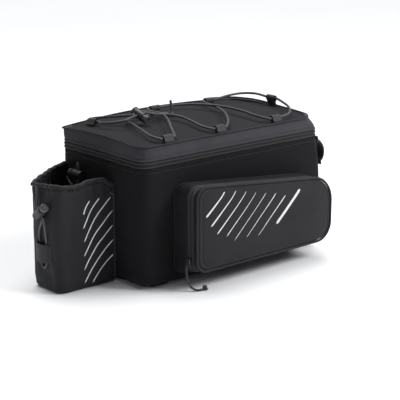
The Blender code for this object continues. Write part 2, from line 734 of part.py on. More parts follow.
def make_side_pocket(side, name):
    """One pocket; side is -1 for the near one and 1 for the far one."""
    middle = (SIDE_ZIP_START + SIDE_ZIP_END) / 2
    coil = SIDE_ZIP / 6
    zip_profile = ((-ZIP_THICKNESS, SIDE_ZIP_START), (0.0, SIDE_ZIP_START), (0.0, middle - coil),
                   (ZIP_COIL, middle - coil / 2), (ZIP_COIL, middle + coil / 2),
                   (0.0, middle + coil), (0.0, SIDE_ZIP_END), (-ZIP_THICKNESS, SIDE_ZIP_END))
    outer_start = SIDE_ZIP_END + GAP
    outer_end = SIDE_DEPTH - FACE_THICKNESS - GAP
    for piece, profile, look in (("side_gusset_inner", fabric_profile(0.0, SIDE_INNER), FABRIC),
                                 ("side_zip", zip_profile, TAPE),
                                 ("side_gusset_outer", fabric_profile(outer_start, outer_end), FABRIC)):
        rings = [side_ring(side, depth, offset) for offset, depth in profile]
        finish(loft(f"{piece}_{name}", rings, around=True), look, 30)
    edge = side_outline(SIDE_DEPTH)
    centre = sum((point for point, _ in edge), Vector((0, 0))) / len(edge)
    rings = []
    for scale, rise in ((1.0, 0.0), (0.90, 0.55), (0.5, 1.0)):
        y = side * (HALF_WIDTH + GAP + SIDE_DEPTH + FACE_CROWN * rise)
        ring = [centre + (point - centre) * scale for point, _ in edge]
        ring = [Vector((point.x, y, point.y)) for point in ring]
        rings.append(ring if side < 0 else list(reversed(ring)))
    face = loft(f"side_face_{name}", rings, cap_high=True)
    finish(thicken(face, FACE_THICKNESS), PADDED)
    cord = PIPING_RADIUS + GAP
    points = side_ring(side, SIDE_DEPTH - FACE_THICKNESS / 2, cord * 1.1)
    finish(tube(f"side_piping_{name}", points, PIPING_RADIUS, resolution=1, cyclic=True), PADDED)
    seat = side_outline(middle)[0]
    tilt = Vector((seat[1].x, 0, seat[1].y))
    place = Vector((seat[0].x, side * (HALF_WIDTH + GAP + middle), seat[0].y))
    place += tilt * (ZIP_COIL + GAP)
    along = Vector((0, 0, 1)) if abs(tilt.z) < 0.5 else Vector((1, 0, 0))
    slider(f"side_slider_{name}", place, along, tilt)
    hang = place + tilt * (SLIDER_THICKNESS + GAP + PULLER_RADIUS)
    drop = hang.z - PULLER_RADIUS
    route = [hang + Vector((0, 0, -SLIDER_LENGTH / 4)),
             hang + Vector((-0.0015, side * 0.001, -drop * 0.35)),
             hang + Vector((-0.0005, side * 0.004, -drop * 0.7)),
             hang + Vector((0.004, side * 0.008, -drop * 0.93)),
             hang + Vector((0.011, side * 0.012, -drop)),
             hang + Vector((0.020, side * 0.014, -drop))]
    finish(tube(f"side_puller_{name}", smooth_path(route, 14), PULLER_RADIUS), CORD)


# Rear pocket: three walls and a floor that stand off the rear wall

def pocket_path():
    """The walls' outline from above, from the far seam round to the near one, with normals."""
    start = REAR_FACE - GAP
    corners = ((start, -POCKET_NEAR), (start - POCKET_WALL * 0.6, POCKET_FAR),
               (POCKET_REAR, POCKET_REAR_FAR), (POCKET_REAR, -POCKET_NEAR))
    far = Vector(corners[1])
    rear_far = Vector(corners[2])
    rear_near = Vector(corners[3])
    near = Vector(corners[0])
    path = [far, far.lerp(rear_far, 0.35), far.lerp(rear_far, 0.68)]
    for before, corner, after in ((far, rear_far, rear_near), (rear_far, rear_near, near)):
        to_before = (before - corner).normalized()
        to_after = (after - corner).normalized()
        half = to_before.angle(to_after) / 2
        reach = POCKET_RADIUS / math.tan(half)
        centre = corner + (to_before + to_after).normalized() * (POCKET_RADIUS / math.sin(half))
        first = corner + to_before * reach - centre
        last = corner + to_after * reach - centre
        turn = first.angle_signed(last) * -1
        for step in range(5):
            angle = turn * step / 4
            path.append(centre + Vector((first.x * math.cos(angle) - first.y * math.sin(angle),
                                         first.x * math.sin(angle) + first.y * math.cos(angle))))
    path += [rear_near.lerp(near, 0.4), rear_near.lerp(near, 0.7), near]
    return path


def rim_height(point):
    """The mouth's height: low at the near seam, high along the middle of the walls."""
    share = min(max((REAR_FACE - point.x) / POCKET_DEPTH, 0.0), 1.0)
    dip = POCKET_RIM_DIP * max(1 - share * 5, 0.0) if point.y < 0 else 0.0
    return POCKET_HEIGHT - dip + POCKET_RIM_RISE * math.sin(math.pi * share)


def make_rear_pocket():
    """Thin fabric walls with a floor, open at the top and against the bag."""
    path = pocket_path()
    levels = (0.0, 0.06, 0.35, 0.7, 1.0)
    inset = POCKET_RADIUS / 3
    centre = Vector((REAR_FACE, (POCKET_FAR - POCKET_NEAR) / 2))
    rings = []
    for level in levels:
        ring = []
        for point in path:
            pull = inset if level == 0.0 else 0.0
            towards = (centre - point).normalized() * pull
            towards.x = min(towards.x, REAR_FACE - GAP - point.x)
            height = POCKET_FLOOR + (rim_height(point) - POCKET_FLOOR) * level
            ring.append(Vector((point.x + towards.x, point.y + towards.y, height)))
        rings.append(ring)
    bm = bmesh.new()
    rows = [[bm.verts.new(point) for point in ring] for ring in rings]
    for low, high in zip(rows, rows[1:]):
        for i in range(len(low) - 1):
            bm.faces.new((low[i], low[i + 1], high[i + 1], high[i]))
    bm.faces.new(list(reversed(rows[0])))
    pocket = mesh_object("rear_pocket", bm)
    return finish(thicken(pocket, POCKET_WALL), FABRIC)


def hem_path():
    """The middle line of the rolled hem, on top of the pocket's wall."""
    points = []
    for point in pocket_path():
        points.append(Vector((point.x, point.y, rim_height(point) + HEM_RADIUS + GAP)))
    for end, beside in ((0, 1), (-1, -2)):
        points[end] += (points[beside] - points[end]).normalized() * HEM_RADIUS
    return points


def make_rear_hem():
    """Rolled hem that the drawcord runs in."""
    return finish(tube("rear_hem", hem_path(), HEM_RADIUS, resolution=1), FABRIC)


REAR_LOCK = Vector((POCKET_REAR - LOCK_RADIUS - 3 * GAP, 0.002, 0.108))
REAR_LOCK_AXIS = Vector((0, -0.78, 0.63)).normalized()
REAR_LOCK_PASSING = Vector((0, -REAR_LOCK_AXIS.z, REAR_LOCK_AXIS.y)).normalized()
INNER_LOCK = Vector((REAR_FACE - LOCK_RADIUS - 3 * GAP, 0.044, 0.137))
INNER_LOCK_AXIS = Vector((0, 1, 0))
INNER_LOCK_PASSING = Vector((0, 0, 1))


def lock_pass(lock, axis, passing, along_axis, way):
    """Points straight through a lock, offset along its axis; way is 1 along its passing."""
    stations = (-LOCK_PASS, -LOCK_RADIUS - GAP, LOCK_RADIUS + GAP, LOCK_PASS)
    return [lock + passing * (station * way) + axis * along_axis for station in stations]


def make_rear_drawcord():
    """Both ends leave the hem, pass the lock, and hang in a loop behind the light band."""
    wall = POCKET_REAR - DRAWCORD_RADIUS - 2 * GAP
    hem_out = POCKET_REAR - HEM_RADIUS - DRAWCORD_RADIUS - GAP
    hem_z = rim_height(Vector((POCKET_REAR, 0.0))) + HEM_RADIUS
    shift = LOCK_SLOT_LENGTH / 4
    rear_lock = (REAR_LOCK, REAR_LOCK_AXIS, REAR_LOCK_PASSING)
    route = [Vector((hem_out, 0.019, hem_z - 0.001)), Vector((hem_out, 0.019, hem_z - 0.009)),
             *lock_pass(*rear_lock, -shift, 1),
             Vector((wall - 0.003, 0.005, 0.088)), Vector((wall - 0.002, 0.0095, 0.076)),
             Vector((wall, 0.010, 0.064)), Vector((wall, 0.010, 0.048)),
             Vector((wall, 0.009, 0.038)), Vector((wall, 0.003, 0.032)),
             Vector((wall, -0.003, 0.037)), Vector((wall, -0.0035, 0.048)),
             Vector((wall, -0.0045, 0.064)), Vector((wall - 0.003, -0.007, 0.080)),
             *lock_pass(*rear_lock, shift, -1),
             Vector((hem_out, 0.011, hem_z - 0.009)), Vector((hem_out, 0.011, hem_z - 0.001))]
    finish(tube("rear_drawcord", smooth_path(route, 36), DRAWCORD_RADIUS), CORD)
    cord_lock("rear_lock", REAR_LOCK, REAR_LOCK_AXIS, REAR_LOCK_PASSING, DRAWCORD_RADIUS)


def make_inner_drawcord():
    """The cord's stretch along the bag's own wall, which closes the mouth, with a lock on it."""
    x = REAR_FACE - LOCK_RADIUS - 3 * GAP
    near = -POCKET_NEAR + POCKET_WALL + 0.002
    far = POCKET_FAR - 0.012
    seam = POCKET_HEIGHT - POCKET_RIM_DIP
    shift = LOCK_SLOT_LENGTH / 4
    inner_lock = (INNER_LOCK, INNER_LOCK_AXIS, INNER_LOCK_PASSING)
    route = [Vector((x, near, seam - 0.004)), Vector((x, near + 0.014, seam - 0.012)),
             Vector((x, near + 0.034, seam - 0.016)), Vector((x, near + 0.054, seam - 0.015)),
             *lock_pass(*inner_lock, -shift, 1),
             INNER_LOCK + Vector((0, 0, 0.016)),
             *lock_pass(*inner_lock, shift, -1),
             Vector((x, 0.055, seam - 0.014)), Vector((x, 0.065, seam - 0.010)),
             Vector((x, far, seam - 0.004))]
    finish(tube("inner_drawcord", smooth_path(route, 28), DRAWCORD_RADIUS), CORD)
    cord_lock("inner_lock", INNER_LOCK, INNER_LOCK_AXIS, INNER_LOCK_PASSING, DRAWCORD_RADIUS)


def make_light_band():
    """Webbing across the pocket's rear wall, standing off it in the middle."""
    left = POCKET_REAR_FAR - BAND_MARGIN
    right = BAND_MARGIN - POCKET_NEAR
    flat = BAND_MARGIN + BAND_THICKNESS
    foot = POCKET_REAR - GAP - BAND_THICKNESS / 2
    left -= POCKET_RADIUS / 3
    right += POCKET_RADIUS
    path = [(foot, right), (foot, right + flat)]
    steps = 8
    for step in range(1, steps):
        share = step / steps
        y = right + flat + (left - right - 2 * flat) * share
        path.append((foot - BAND_PROUD * math.sin(math.pi * share) ** 0.6, y))
    path += [(foot, left - flat), (foot, left)]
    middle = BAND_TOP - BAND_HEIGHT / 2
    points = [Vector((x, y, middle)) for x, y in path]
    return finish(strip("light_band", points, UP, BAND_HEIGHT, BAND_THICKNESS), WEBBING)


# Front loop and rack straps

def make_front_loop():
    """An upright loop of doubled webbing, sewn to the front wall at both ends."""
    def against(height):
        return front_face(height) + GAP * 2 + LOOP_THICKNESS / 2
    side = LOOP_INSET - HALF_WIDTH
    low = LOOP_TOP - LOOP_HEIGHT
    path = [(against(LOOP_TOP), LOOP_TOP), (against(LOOP_TOP - LOOP_FOOT), LOOP_TOP - LOOP_FOOT)]
    steps = 8
    span = LOOP_HEIGHT - 2 * LOOP_FOOT
    for step in range(1, steps):
        share = step / steps
        height = LOOP_TOP - LOOP_FOOT - span * share
        path.append((against(height) + LOOP_PROUD * math.sin(math.pi * share) ** 0.6, height))
    path += [(against(low + LOOP_FOOT), low + LOOP_FOOT), (against(low), low)]
    points = [Vector((x, side, z)) for x, z in path]
    return finish(strip("front_loop", points, (0, 1, 0), LOOP_WIDTH, LOOP_THICKNESS), WEBBING)


def make_rack_straps():
    """Three straps a side, each folded once and lying flat in the base's recess."""
    upper = STRAP_RECESS - GAP - STRAP_THICKNESS / 2
    lower = upper - STRAP_THICKNESS - STRAP_PLY_GAP
    radius = (upper - lower) / 2
    for side, name in ((-1, "near"), (1, "far")):
        for number, place in enumerate(STRAP_PLACES, 1):
            outer = STRAP_OUTER_EDGE - radius
            inner = STRAP_OUTER_EDGE - STRAP_LENGTH
            path = [(inner, upper), (outer, upper)]
            for step in range(1, 6):
                angle = math.radians(90 - 30 * step)
                path.append((outer + radius * math.cos(angle),
                             (upper + lower) / 2 + radius * math.sin(angle)))
            path += [(outer, lower), (inner, lower)]
            points = [Vector((place, side * y, z)) for y, z in path]
            strap = strip(f"rack_strap_{name}_{number}", points, (1, 0, 0), STRAP_WIDTH,
                          STRAP_THICKNESS)
            finish(strap, WEBBING)


make_body()
make_base()
make_main_zip()
slider("main_zip_slider",
       (HALF_LENGTH - CORNER_RADII[2] - 2 * SLIDER_LENGTH, HALF_WIDTH + ZIP_COIL + GAP,
        ZIP_LOW + ZIP_HEIGHT / 2), (1, 0, 0), (0, 1, 0))
make_lid()
make_lid_piping()
make_lid_tabs()
make_lacing()
make_side_pocket(-1, "near")
make_side_pocket(1, "far")
make_rear_pocket()
make_rear_hem()
make_rear_drawcord()
make_inner_drawcord()
make_light_band()
make_front_loop()
make_rack_straps()
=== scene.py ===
"""A soft zipped trunk bag with side pockets, standing on a pale studio floor."""
import math

import bmesh
import bpy
from mathutils import Matrix, Vector, noise


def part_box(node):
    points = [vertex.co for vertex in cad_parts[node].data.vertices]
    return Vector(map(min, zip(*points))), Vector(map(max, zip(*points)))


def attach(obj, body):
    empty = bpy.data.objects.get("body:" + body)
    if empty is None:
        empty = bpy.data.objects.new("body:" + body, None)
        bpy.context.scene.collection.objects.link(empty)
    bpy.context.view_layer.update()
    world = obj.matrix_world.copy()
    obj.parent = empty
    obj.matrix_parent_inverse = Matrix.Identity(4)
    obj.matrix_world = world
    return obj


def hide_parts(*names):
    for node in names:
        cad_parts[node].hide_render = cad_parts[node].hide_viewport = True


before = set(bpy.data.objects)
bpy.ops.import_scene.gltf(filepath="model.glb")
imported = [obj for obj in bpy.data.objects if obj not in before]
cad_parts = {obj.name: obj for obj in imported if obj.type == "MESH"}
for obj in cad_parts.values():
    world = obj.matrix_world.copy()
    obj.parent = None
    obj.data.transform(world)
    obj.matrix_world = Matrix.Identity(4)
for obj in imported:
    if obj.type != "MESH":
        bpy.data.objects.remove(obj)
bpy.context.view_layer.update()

# The studio.
# A table of pale board that runs out past the picture, under a broad overhead
# light, with a soft box at the near side and a small one at the rear.
camera_lens = bpy.data.cameras.new("camera")
camera_lens.lens = 117.0
camera_lens.sensor_width = 36.0
camera_lens.clip_end = 60.0
camera = bpy.data.objects.new("camera", camera_lens)
camera.location = (-1.1605, -1.3735, 0.5743)
camera.rotation_euler = (math.radians(90 - 15.370), 0.0, math.radians(-40.549))
bpy.context.scene.collection.objects.link(camera)
bpy.context.scene.camera = camera

FLOOR_HEIGHT = 0.0


def soft_light(name, place, target, size, power):
    """A square soft box that faces a target."""
    box = bpy.data.lights.new(name, "AREA")
    box.shape = "SQUARE"
    box.size = size
    box.energy = power
    lamp = bpy.data.objects.new(name, box)
    lamp.location = place
    lamp.rotation_euler = (Vector(target) - Vector(place)).to_track_quat("-Z", "Y").to_euler()
    bpy.context.scene.collection.objects.link(lamp)
    return lamp


soft_light("key_light", (0.95, -1.15, 1.30), (0, 0, 0.12), 0.9, 31.0)
soft_light("rear_light", (-1.5, -0.5, 0.8), (-0.25, 0, 0.12), 0.5, 0.8)
overhead = bpy.data.lights.new("overhead", "SUN")
overhead.energy = 2.9
overhead.angle = math.radians(50)
overhead_lamp = bpy.data.objects.new("overhead", overhead)
overhead_lamp.rotation_euler = Vector((-0.15, -0.35, -1.0)).to_track_quat("-Z", "Y").to_euler()
bpy.context.scene.collection.objects.link(overhead_lamp)

world = bpy.data.worlds.new("studio_air")
world.use_nodes = True
world.node_tree.nodes["Background"].inputs["Color"].default_value = (0.93, 0.95, 1.0, 1.0)
world.node_tree.nodes["Background"].inputs["Strength"].default_value = 0.22
bpy.context.scene.world = world
bpy.context.scene.view_settings.view_transform = "Standard"
bpy.context.scene.view_settings.look = "None"


def add_node(tree, kind, links=None, **values):
    """A shader node, with its settings and sockets filled in by name and fed by links."""
    made = tree.nodes.new(kind)
    for key, value in values.items():
        if key in made.bl_rna.properties:
            setattr(made, key, value)
        else:
            made.inputs[key.replace("_", " ").title()].default_value = value
    for socket, feed in (links or {}).items():
        tree.links.new(feed, made.inputs[socket])
    return made


def start_finish(name, rough, specular=0.3):
    """A new finish, with its tree and shader."""
    material = bpy.data.materials.new(name)
    material.use_nodes = True
    shader = material.node_tree.nodes["Principled BSDF"]
    shader.inputs["Roughness"].default_value = rough
    shader.inputs["Specular IOR Level"].default_value = specular
    return material, material.node_tree, shader


def table_board():
    """Matt white board with a faint mottle."""
    material, tree, shader = start_finish("table_board", 0.75)
    seat = add_node(tree, "ShaderNodeTexCoord").outputs["Object"]
    mottle = add_node(tree, "ShaderNodeTexNoise", {"Vector": seat}, scale=3.0, detail=4.0)
    tint = add_node(tree, "ShaderNodeValToRGB", {"Fac": mottle.outputs[0]})
    tint.color_ramp.elements[0].color = (0.86, 0.87, 0.88, 1.0)
    tint.color_ramp.elements[1].color = (0.90, 0.90, 0.90, 1.0)
    tree.links.new(tint.outputs["Color"], shader.inputs["Base Color"])
    return material


def place_piece(name, bm, finish, sharp=38.0):
    """Turns a finished bmesh into a shown piece, shaded smooth up to an angle."""
    mesh = bpy.data.meshes.new(name)
    bm.to_mesh(mesh)
    bm.free()
    mesh.shade_smooth()
    mesh.set_sharp_from_angle(angle=math.radians(sharp))
    mesh.materials.append(finish)
    piece = bpy.data.objects.new(name, mesh)
    bpy.context.scene.collection.objects.link(piece)
    return piece


tabletop = bmesh.new()
bmesh.ops.create_circle(tabletop, cap_ends=True, radius=14.0, segments=96)
bmesh.ops.translate(tabletop, verts=tabletop.verts, vec=(0, 0, FLOOR_HEIGHT))
place_piece("tabletop", tabletop, table_board())

# Padded walls and floor.
# The main box: polyester pack cloth over foam, three millimetres thick, cut as one wrap with
# a rounded bottom edge, sewn to the zip tape above with a line of stitches under it.
LENGTH = 0.320
WIDTH = 0.180
WALL_TOP = 0.166
# at the corners: near rear, near front, far front and far rear
CORNERS = (0.018, 0.0085, 0.0085, 0.0085)
WALL_THICKNESS = 0.003
BELLY = 0.012
BOTTOM_ROUND = 0.007
FLOOR_OF_BAG = 0.0073
WALL_SEAM = 0.1600
HALF_LENGTH = LENGTH / 2
HALF_WIDTH = WIDTH / 2
THREAD_RADIUS = 0.00024


def walk_round(corners, radii, count):
    """Points and outward directions, evenly spaced round a polygon with rounded corners."""
    corners = [Vector(corner) for corner in corners]
    arcs = []
    for i, (here, radius) in enumerate(zip(corners, radii)):
        back = (corners[i - 1] - here).normalized()
        onward = (corners[(i + 1) % len(corners)] - here).normalized()
        half = back.angle(onward) / 2
        reach = radius / math.tan(half)
        centre = here + (back + onward).normalized() * (radius / math.sin(half))
        arcs.append((here + back * reach, centre, here + onward * reach, math.pi - 2 * half, radius))
    stretches = []
    for i, (first, centre, last, turn, radius) in enumerate(arcs):
        stretches.append((turn * radius, first, centre, radius))
        following = arcs[(i + 1) % len(arcs)][0]
        stretches.append(((following - last).length, last, following, 0.0))
    whole = sum(stretch[0] for stretch in stretches)
    walk = []
    for step in range(count):
        left = whole * step / count
        for length, first, other, radius in stretches:
            if left <= length:
                break
            left -= length
        if radius:
            out = Matrix.Rotation(left / radius, 2) @ (first - other).normalized()
            walk.append((other + out * radius, out))
        else:
            way = (other - first).normalized()
            walk.append((first + way * left, Vector((way.y, -way.x))))
    return walk


def crumple(place, size, depth):
    """How far cloth stands out or in at a place, for soft folds of a size and a depth."""
    broad = noise.noise(place / size)
    fine = noise.noise(place / (size * 0.37) + Vector((7.1, 3.3, 1.7)))
    return depth * (broad + 0.35 * fine)


def skin_over(name, rings, finish, spread, closed=True, sharp=38.0):
    """Cloth over a row of rings: a grid whose corners are drawn onto them, merged where it closes."""
    across = len(rings) - 1
    count = len(rings[0])
    columns = count if closed else count - 1
    bm = bmesh.new()
    bmesh.ops.create_grid(bm, x_segments=columns, y_segments=across, size=1.0)
    chart = bm.loops.layers.uv.new("weave")
    seats = {}
    for vert in bm.verts:
        seats[vert] = (round((vert.co.x + 1) / 2 * columns), round((vert.co.y + 1) / 2 * across))
    for face in bm.faces:
        for corner in face.loops:
            along, up = seats[corner.vert]
            corner[chart].uv = (along / columns * spread[0], up / across * spread[1])
    for vert, (along, up) in seats.items():
        vert.co = rings[up][along % count]
    bmesh.ops.remove_doubles(bm, verts=bm.verts, dist=1e-6)
    return place_piece(name, bm, finish, sharp)


def give_wall(piece, thickness, offset=-1.0):
    """Gives a skin the thickness of its cloth."""
    wall = piece.modifiers.new("wall", "SOLIDIFY")
    wall.thickness = thickness
    wall.offset = offset
    wall.use_even_offset = True
    wall.use_quality_normals = True
    return piece


def sew_on(piece, slot_name, *nodes, body="bag"):
    """The piece rides on a body and stands for the plain solids, which it hides; the slot name is not
    used.
    """
    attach(piece, body)
    if nodes:
        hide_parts(*nodes)
    return piece


# the scale at which a wave texture has one band a metre
ONE_BAND = 0.31416


def woven_cloth(name, colour, pitch, source="UV", ways=("X", "Y"), rough=0.80, relief=0.55,
                cloud=0.18, sheen=0.04, specular=0.12):
    """Plain-woven yarn: two sets of threads, with uneven dye and softer, paler worn patches."""
    material, tree, shader = start_finish(name, rough, specular)
    shader.inputs["Sheen Weight"].default_value = sheen
    shader.inputs["Sheen Roughness"].default_value = 0.45
    seat = add_node(tree, "ShaderNodeTexCoord").outputs[source]
    own = add_node(tree, "ShaderNodeTexCoord").outputs["Object"]
    threads = []
    for way in ways:
        threads.append(add_node(tree, "ShaderNodeTexWave", {"Vector": seat}, bands_direction=way,
                                scale=ONE_BAND / pitch, distortion=0.0).outputs[1])
    weave = add_node(tree, "ShaderNodeMath", {0: threads[0], 1: threads[1]}, operation="MAXIMUM")
    patches = add_node(tree, "ShaderNodeTexNoise", {"Vector": own}, scale=17.0, detail=5.0)
    fuzz = add_node(tree, "ShaderNodeTexNoise", {"Vector": own}, scale=900.0, detail=2.0)
    lit = add_node(tree, "ShaderNodeMath", {0: weave.outputs[0], 1: fuzz.outputs[0]},
                   operation="MULTIPLY")
    shade = add_node(tree, "ShaderNodeMath", {0: patches.outputs[0], 1: lit.outputs[0]},
                     operation="ADD")
    ramp = add_node(tree, "ShaderNodeValToRGB", {"Fac": shade.outputs[0]})
    low, high = ramp.color_ramp.elements
    low.position, high.position = 0.35, 1.0
    low.color = (*[channel * (1 - cloud) * 0.86 for channel in colour], 1.0)
    high.color = (*[channel * (1 + cloud) * 1.10 for channel in colour], 1.0)
    tree.links.new(ramp.outputs["Color"], shader.inputs["Base Color"])
    gloss = add_node(tree, "ShaderNodeMapRange", {"Value": patches.outputs[0]}, to_min=rough - 0.07,
                     to_max=rough + 0.07)
    tree.links.new(gloss.outputs[0], shader.inputs["Roughness"])
    rise = add_node(tree, "ShaderNodeBump", {"Height": lit.outputs[0]}, strength=relief,
                    distance=pitch * 0.5)
    tree.links.new(rise.outputs[0], shader.inputs["Normal"])
    return material


WALL_CLOTH = woven_cloth("wall_cloth", (0.0074, 0.0072, 0.0085), 0.0009)
THREAD = woven_cloth("sewing_thread", (0.048, 0.048, 0.051), 0.0004, source="Object", rough=0.6,
                     relief=0.2)


def front_reach(height):
    """How far forward the front wall stands at a height: it bellies out below the lid."""
    share = min(max(height / WALL_TOP, 0.0), 1.0)
    return HALF_LENGTH + BELLY * math.sin(math.pi * share) ** 0.8


def wall_outline(height, count=256):
    """The outline of the walls at a height."""
    front = front_reach(height)
    return walk_round(((-HALF_LENGTH, -HALF_WIDTH), (front, -HALF_WIDTH), (front, HALF_WIDTH),
                       (-HALF_LENGTH, HALF_WIDTH)), CORNERS, count)


def wall_rings():
    """Rings from the middle of the floor out to the bottom edge, and up the walls to the zip."""
    rings = []
    for share in (0.0, 0.3, 0.6, 0.85, 0.97):
        rings.append([Vector((*((point - out * BOTTOM_ROUND) * share), FLOOR_OF_BAG))
                      for point, out in wall_outline(FLOOR_OF_BAG)])
    for step in range(7):
        angle = math.radians(15 * step)
        height = FLOOR_OF_BAG + BOTTOM_ROUND * (1 - math.cos(angle))
        inset = BOTTOM_ROUND * (1 - math.sin(angle))
        rings.append([Vector((*(point - out * inset), height))
                      for point, out in wall_outline(height)])
    start = FLOOR_OF_BAG + BOTTOM_ROUND
    heights = [start + (0.153 - start) * step / 38 for step in range(1, 39)]
    heights += [0.1560, 0.1580, 0.1594, 0.1600, 0.1606, 0.1620, 0.1638, 0.1652, WALL_TOP]
    seam = {0.1594: 0.0003, 0.1600: 0.0009, 0.1606: 0.0003}
    for height in heights:
        ring = []
        loose = math.sin(math.pi * min((height - start) / (WALL_TOP - start), 1.0))
        for point, out in wall_outline(height):
            place = Vector((*point, height))
            stretched = Vector((place.x * 0.6, place.y, place.z * 0.45))
            rise = crumple(stretched, 0.060, 0.0016) * loose - seam.get(height, 0.0)
            low_fold = math.exp(-((height - 0.029) / 0.012) ** 2)
            rise += 0.0007 * low_fold * noise.noise(Vector((place.x * 40, place.y * 40, 2.0)))
            ring.append(Vector((*(point + out * rise), height)))
        rings.append(ring)
    return rings


padded_walls = skin_over("padded_walls", wall_rings(), WALL_CLOTH, (0.97, 0.23))
give_wall(padded_walls, WALL_THICKNESS)
sew_on(padded_walls, "fabric", "body_shell")


def stitch_row(name, path, outs, pitch=0.0034, length=0.0023, radius=THREAD_RADIUS,
               slot_name="fabric", closed=True):
    """A line of lockstitch along a path: each stitch a short thread, drawn in at its two ends."""
    reach = [0.0]
    ends = list(path) + ([path[0]] if closed else [])
    faces = list(outs) + ([outs[0]] if closed else [])
    for here, there in zip(ends, ends[1:]):
        reach.append(reach[-1] + (there - here).length)
    bm = bmesh.new()
    count = int(reach[-1] / pitch)
    i = 0
    for step in range(count):
        want = reach[-1] * (step + 0.5) / count
        while i < len(reach) - 2 and reach[i + 1] < want:
            i += 1
        share = (want - reach[i]) / max(reach[i + 1] - reach[i], 1e-9)
        middle = ends[i].lerp(ends[i + 1], share)
        along = (ends[i + 1] - ends[i]).normalized()
        out = faces[i].lerp(faces[i + 1], share).normalized()
        side = out.cross(along).normalized()
        turn = Matrix((along, side, side.cross(along) * -1)).transposed().to_4x4()
        made = bmesh.ops.create_cube(bm, size=1.0)["verts"]
        for vert in made:
            pinch = 0.55 if abs(vert.co.x) > 0.4 else 1.0
            vert.co = (vert.co.x * length, vert.co.y * 2 * radius, vert.co.z * 2 * radius * pinch)
        bmesh.ops.transform(bm, matrix=Matrix.Translation(middle) @ turn, verts=made)
    bmesh.ops.recalc_face_normals(bm, faces=bm.faces)
    return sew_on(place_piece(name, bm, THREAD, 80.0), slot_name)


def lift(pairs, height, off=0.0):
    """The points of an outline at a height, moved out, with their directions in space."""
    return ([Vector((*(point + out * off), height)) for point, out in pairs],
            [Vector((*out, 0.0)) for _, out in pairs])


stitch_row("wall_stitches", *lift(wall_outline(WALL_SEAM), WALL_SEAM, 0.0001))
base_finish = woven_cloth("base_board_skin", (0.020, 0.020, 0.021), 0.0006, source="Object",
                          rough=0.6, relief=0.15)
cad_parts["base_panel"].data.materials.clear()
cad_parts["base_panel"].data.materials.append(base_finish)

# Main zip.
# Two polyester tapes that meet over a nylon coil, sewn between the walls and the lid, with a
# painted slider parked at the front of the far side.
ZIP_LOW = 0.1663
ZIP_STEP = (
    (-0.0016, 0.0), (-0.0006, 0.0), (0.0004, 0.0004), (0.0011, 0.0013), (0.0012, 0.0022),
    (0.0006, 0.0030), (-0.0004, 0.0033), (-0.0004, 0.0036), (0.0003, 0.0040), (0.0003, 0.0045),
    (-0.0004, 0.0049), (-0.0004, 0.0052), (0.0006, 0.0055), (0.0012, 0.0063), (0.0011, 0.0072),
    (0.0004, 0.0081), (-0.0006, 0.0085), (-0.0016, 0.0085), (-0.0016, 0.0042),
)


def zip_cloth(name, colour, rib, start, end):
    """Ribbed tape; between two shares of its width the coil's bright teeth show."""
    material, tree, shader = start_finish(name, 0.62, 0.35)
    seat = add_node(tree, "ShaderNodeTexCoord").outputs["UV"]
    split = add_node(tree, "ShaderNodeSeparateXYZ", {0: seat})
    ribs = add_node(tree, "ShaderNodeTexWave", {"Vector": seat}, bands_direction="X",
                    scale=ONE_BAND / rib, distortion=0.0).outputs[1]
    tooth = add_node(tree, "ShaderNodeTexWave", {"Vector": seat}, bands_direction="X",
                     scale=ONE_BAND / 0.0015, distortion=0.0).outputs[1]
    over = add_node(tree, "ShaderNodeMath", {0: split.outputs[1]}, operation="GREATER_THAN")
    over.inputs[1].default_value = start
    under = add_node(tree, "ShaderNodeMath", {0: split.outputs[1]}, operation="LESS_THAN")
    under.inputs[1].default_value = end
    coil = add_node(tree, "ShaderNodeMath", {0: over.outputs[0], 1: under.outputs[0]},
                    operation="MULTIPLY")
    height = add_node(tree, "ShaderNodeMix", {0: coil.outputs[0], 2: ribs, 3: tooth})
    ramp = add_node(tree, "ShaderNodeValToRGB", {"Fac": height.outputs[0]})
    ramp.color_ramp.elements[0].color = (*[channel * 0.55 for channel in colour], 1.0)
    ramp.color_ramp.elements[1].color = (*[channel * 1.35 for channel in colour], 1.0)
    tree.links.new(ramp.outputs["Color"], shader.inputs["Base Color"])
    rise = add_node(tree, "ShaderNodeBump", {"Height": height.outputs[0]}, strength=0.7,
                    distance=0.0004)
    tree.links.new(rise.outputs[0], shader.inputs["Normal"])
    return material


ZIP_TAPE = zip_cloth("zip_tape_cloth", (0.022, 0.022, 0.024), 0.0011, 0.0088, 0.0122)
mouth = walk_round(((-HALF_LENGTH, -HALF_WIDTH), (HALF_LENGTH, -HALF_WIDTH),
                    (HALF_LENGTH, HALF_WIDTH), (-HALF_LENGTH, HALF_WIDTH)), CORNERS, 320)
zip_rings = [[Vector((*(point + out * off), ZIP_LOW + up)) for point, out in mouth]
             for off, up in ZIP_STEP + ZIP_STEP[:1]]
sew_on(skin_over("main_zip_band", zip_rings, ZIP_TAPE, (0.97, 0.022), sharp=60), "zip_tape",
       "main_zip")


def slider_paint(name="slider_paint"):
    """Black paint over die-cast zinc, rubbed on its corners."""
    material, tree, shader = start_finish(name, 0.38, 0.5)
    shader.inputs["Metallic"].default_value = 0.6
    seat = add_node(tree, "ShaderNodeTexCoord").outputs["Object"]
    rub = add_node(tree, "ShaderNodeTexNoise", {"Vector": seat}, scale=500.0, detail=5.0)
    ramp = add_node(tree, "ShaderNodeValToRGB", {"Fac": rub.outputs[0]})
    ramp.color_ramp.elements[0].position = 0.45
    ramp.color_ramp.elements[0].color = (0.040, 0.040, 0.042, 1.0)
    ramp.color_ramp.elements[1].position = 0.72
    ramp.color_ramp.elements[1].color = (0.16, 0.16, 0.165, 1.0)
    tree.links.new(ramp.outputs["Color"], shader.inputs["Base Color"])
    rise = add_node(tree, "ShaderNodeBump", {"Height": rub.outputs[0]}, strength=0.2, distance=0.0002)
    tree.links.new(rise.outputs[0], shader.inputs["Normal"])
    return material


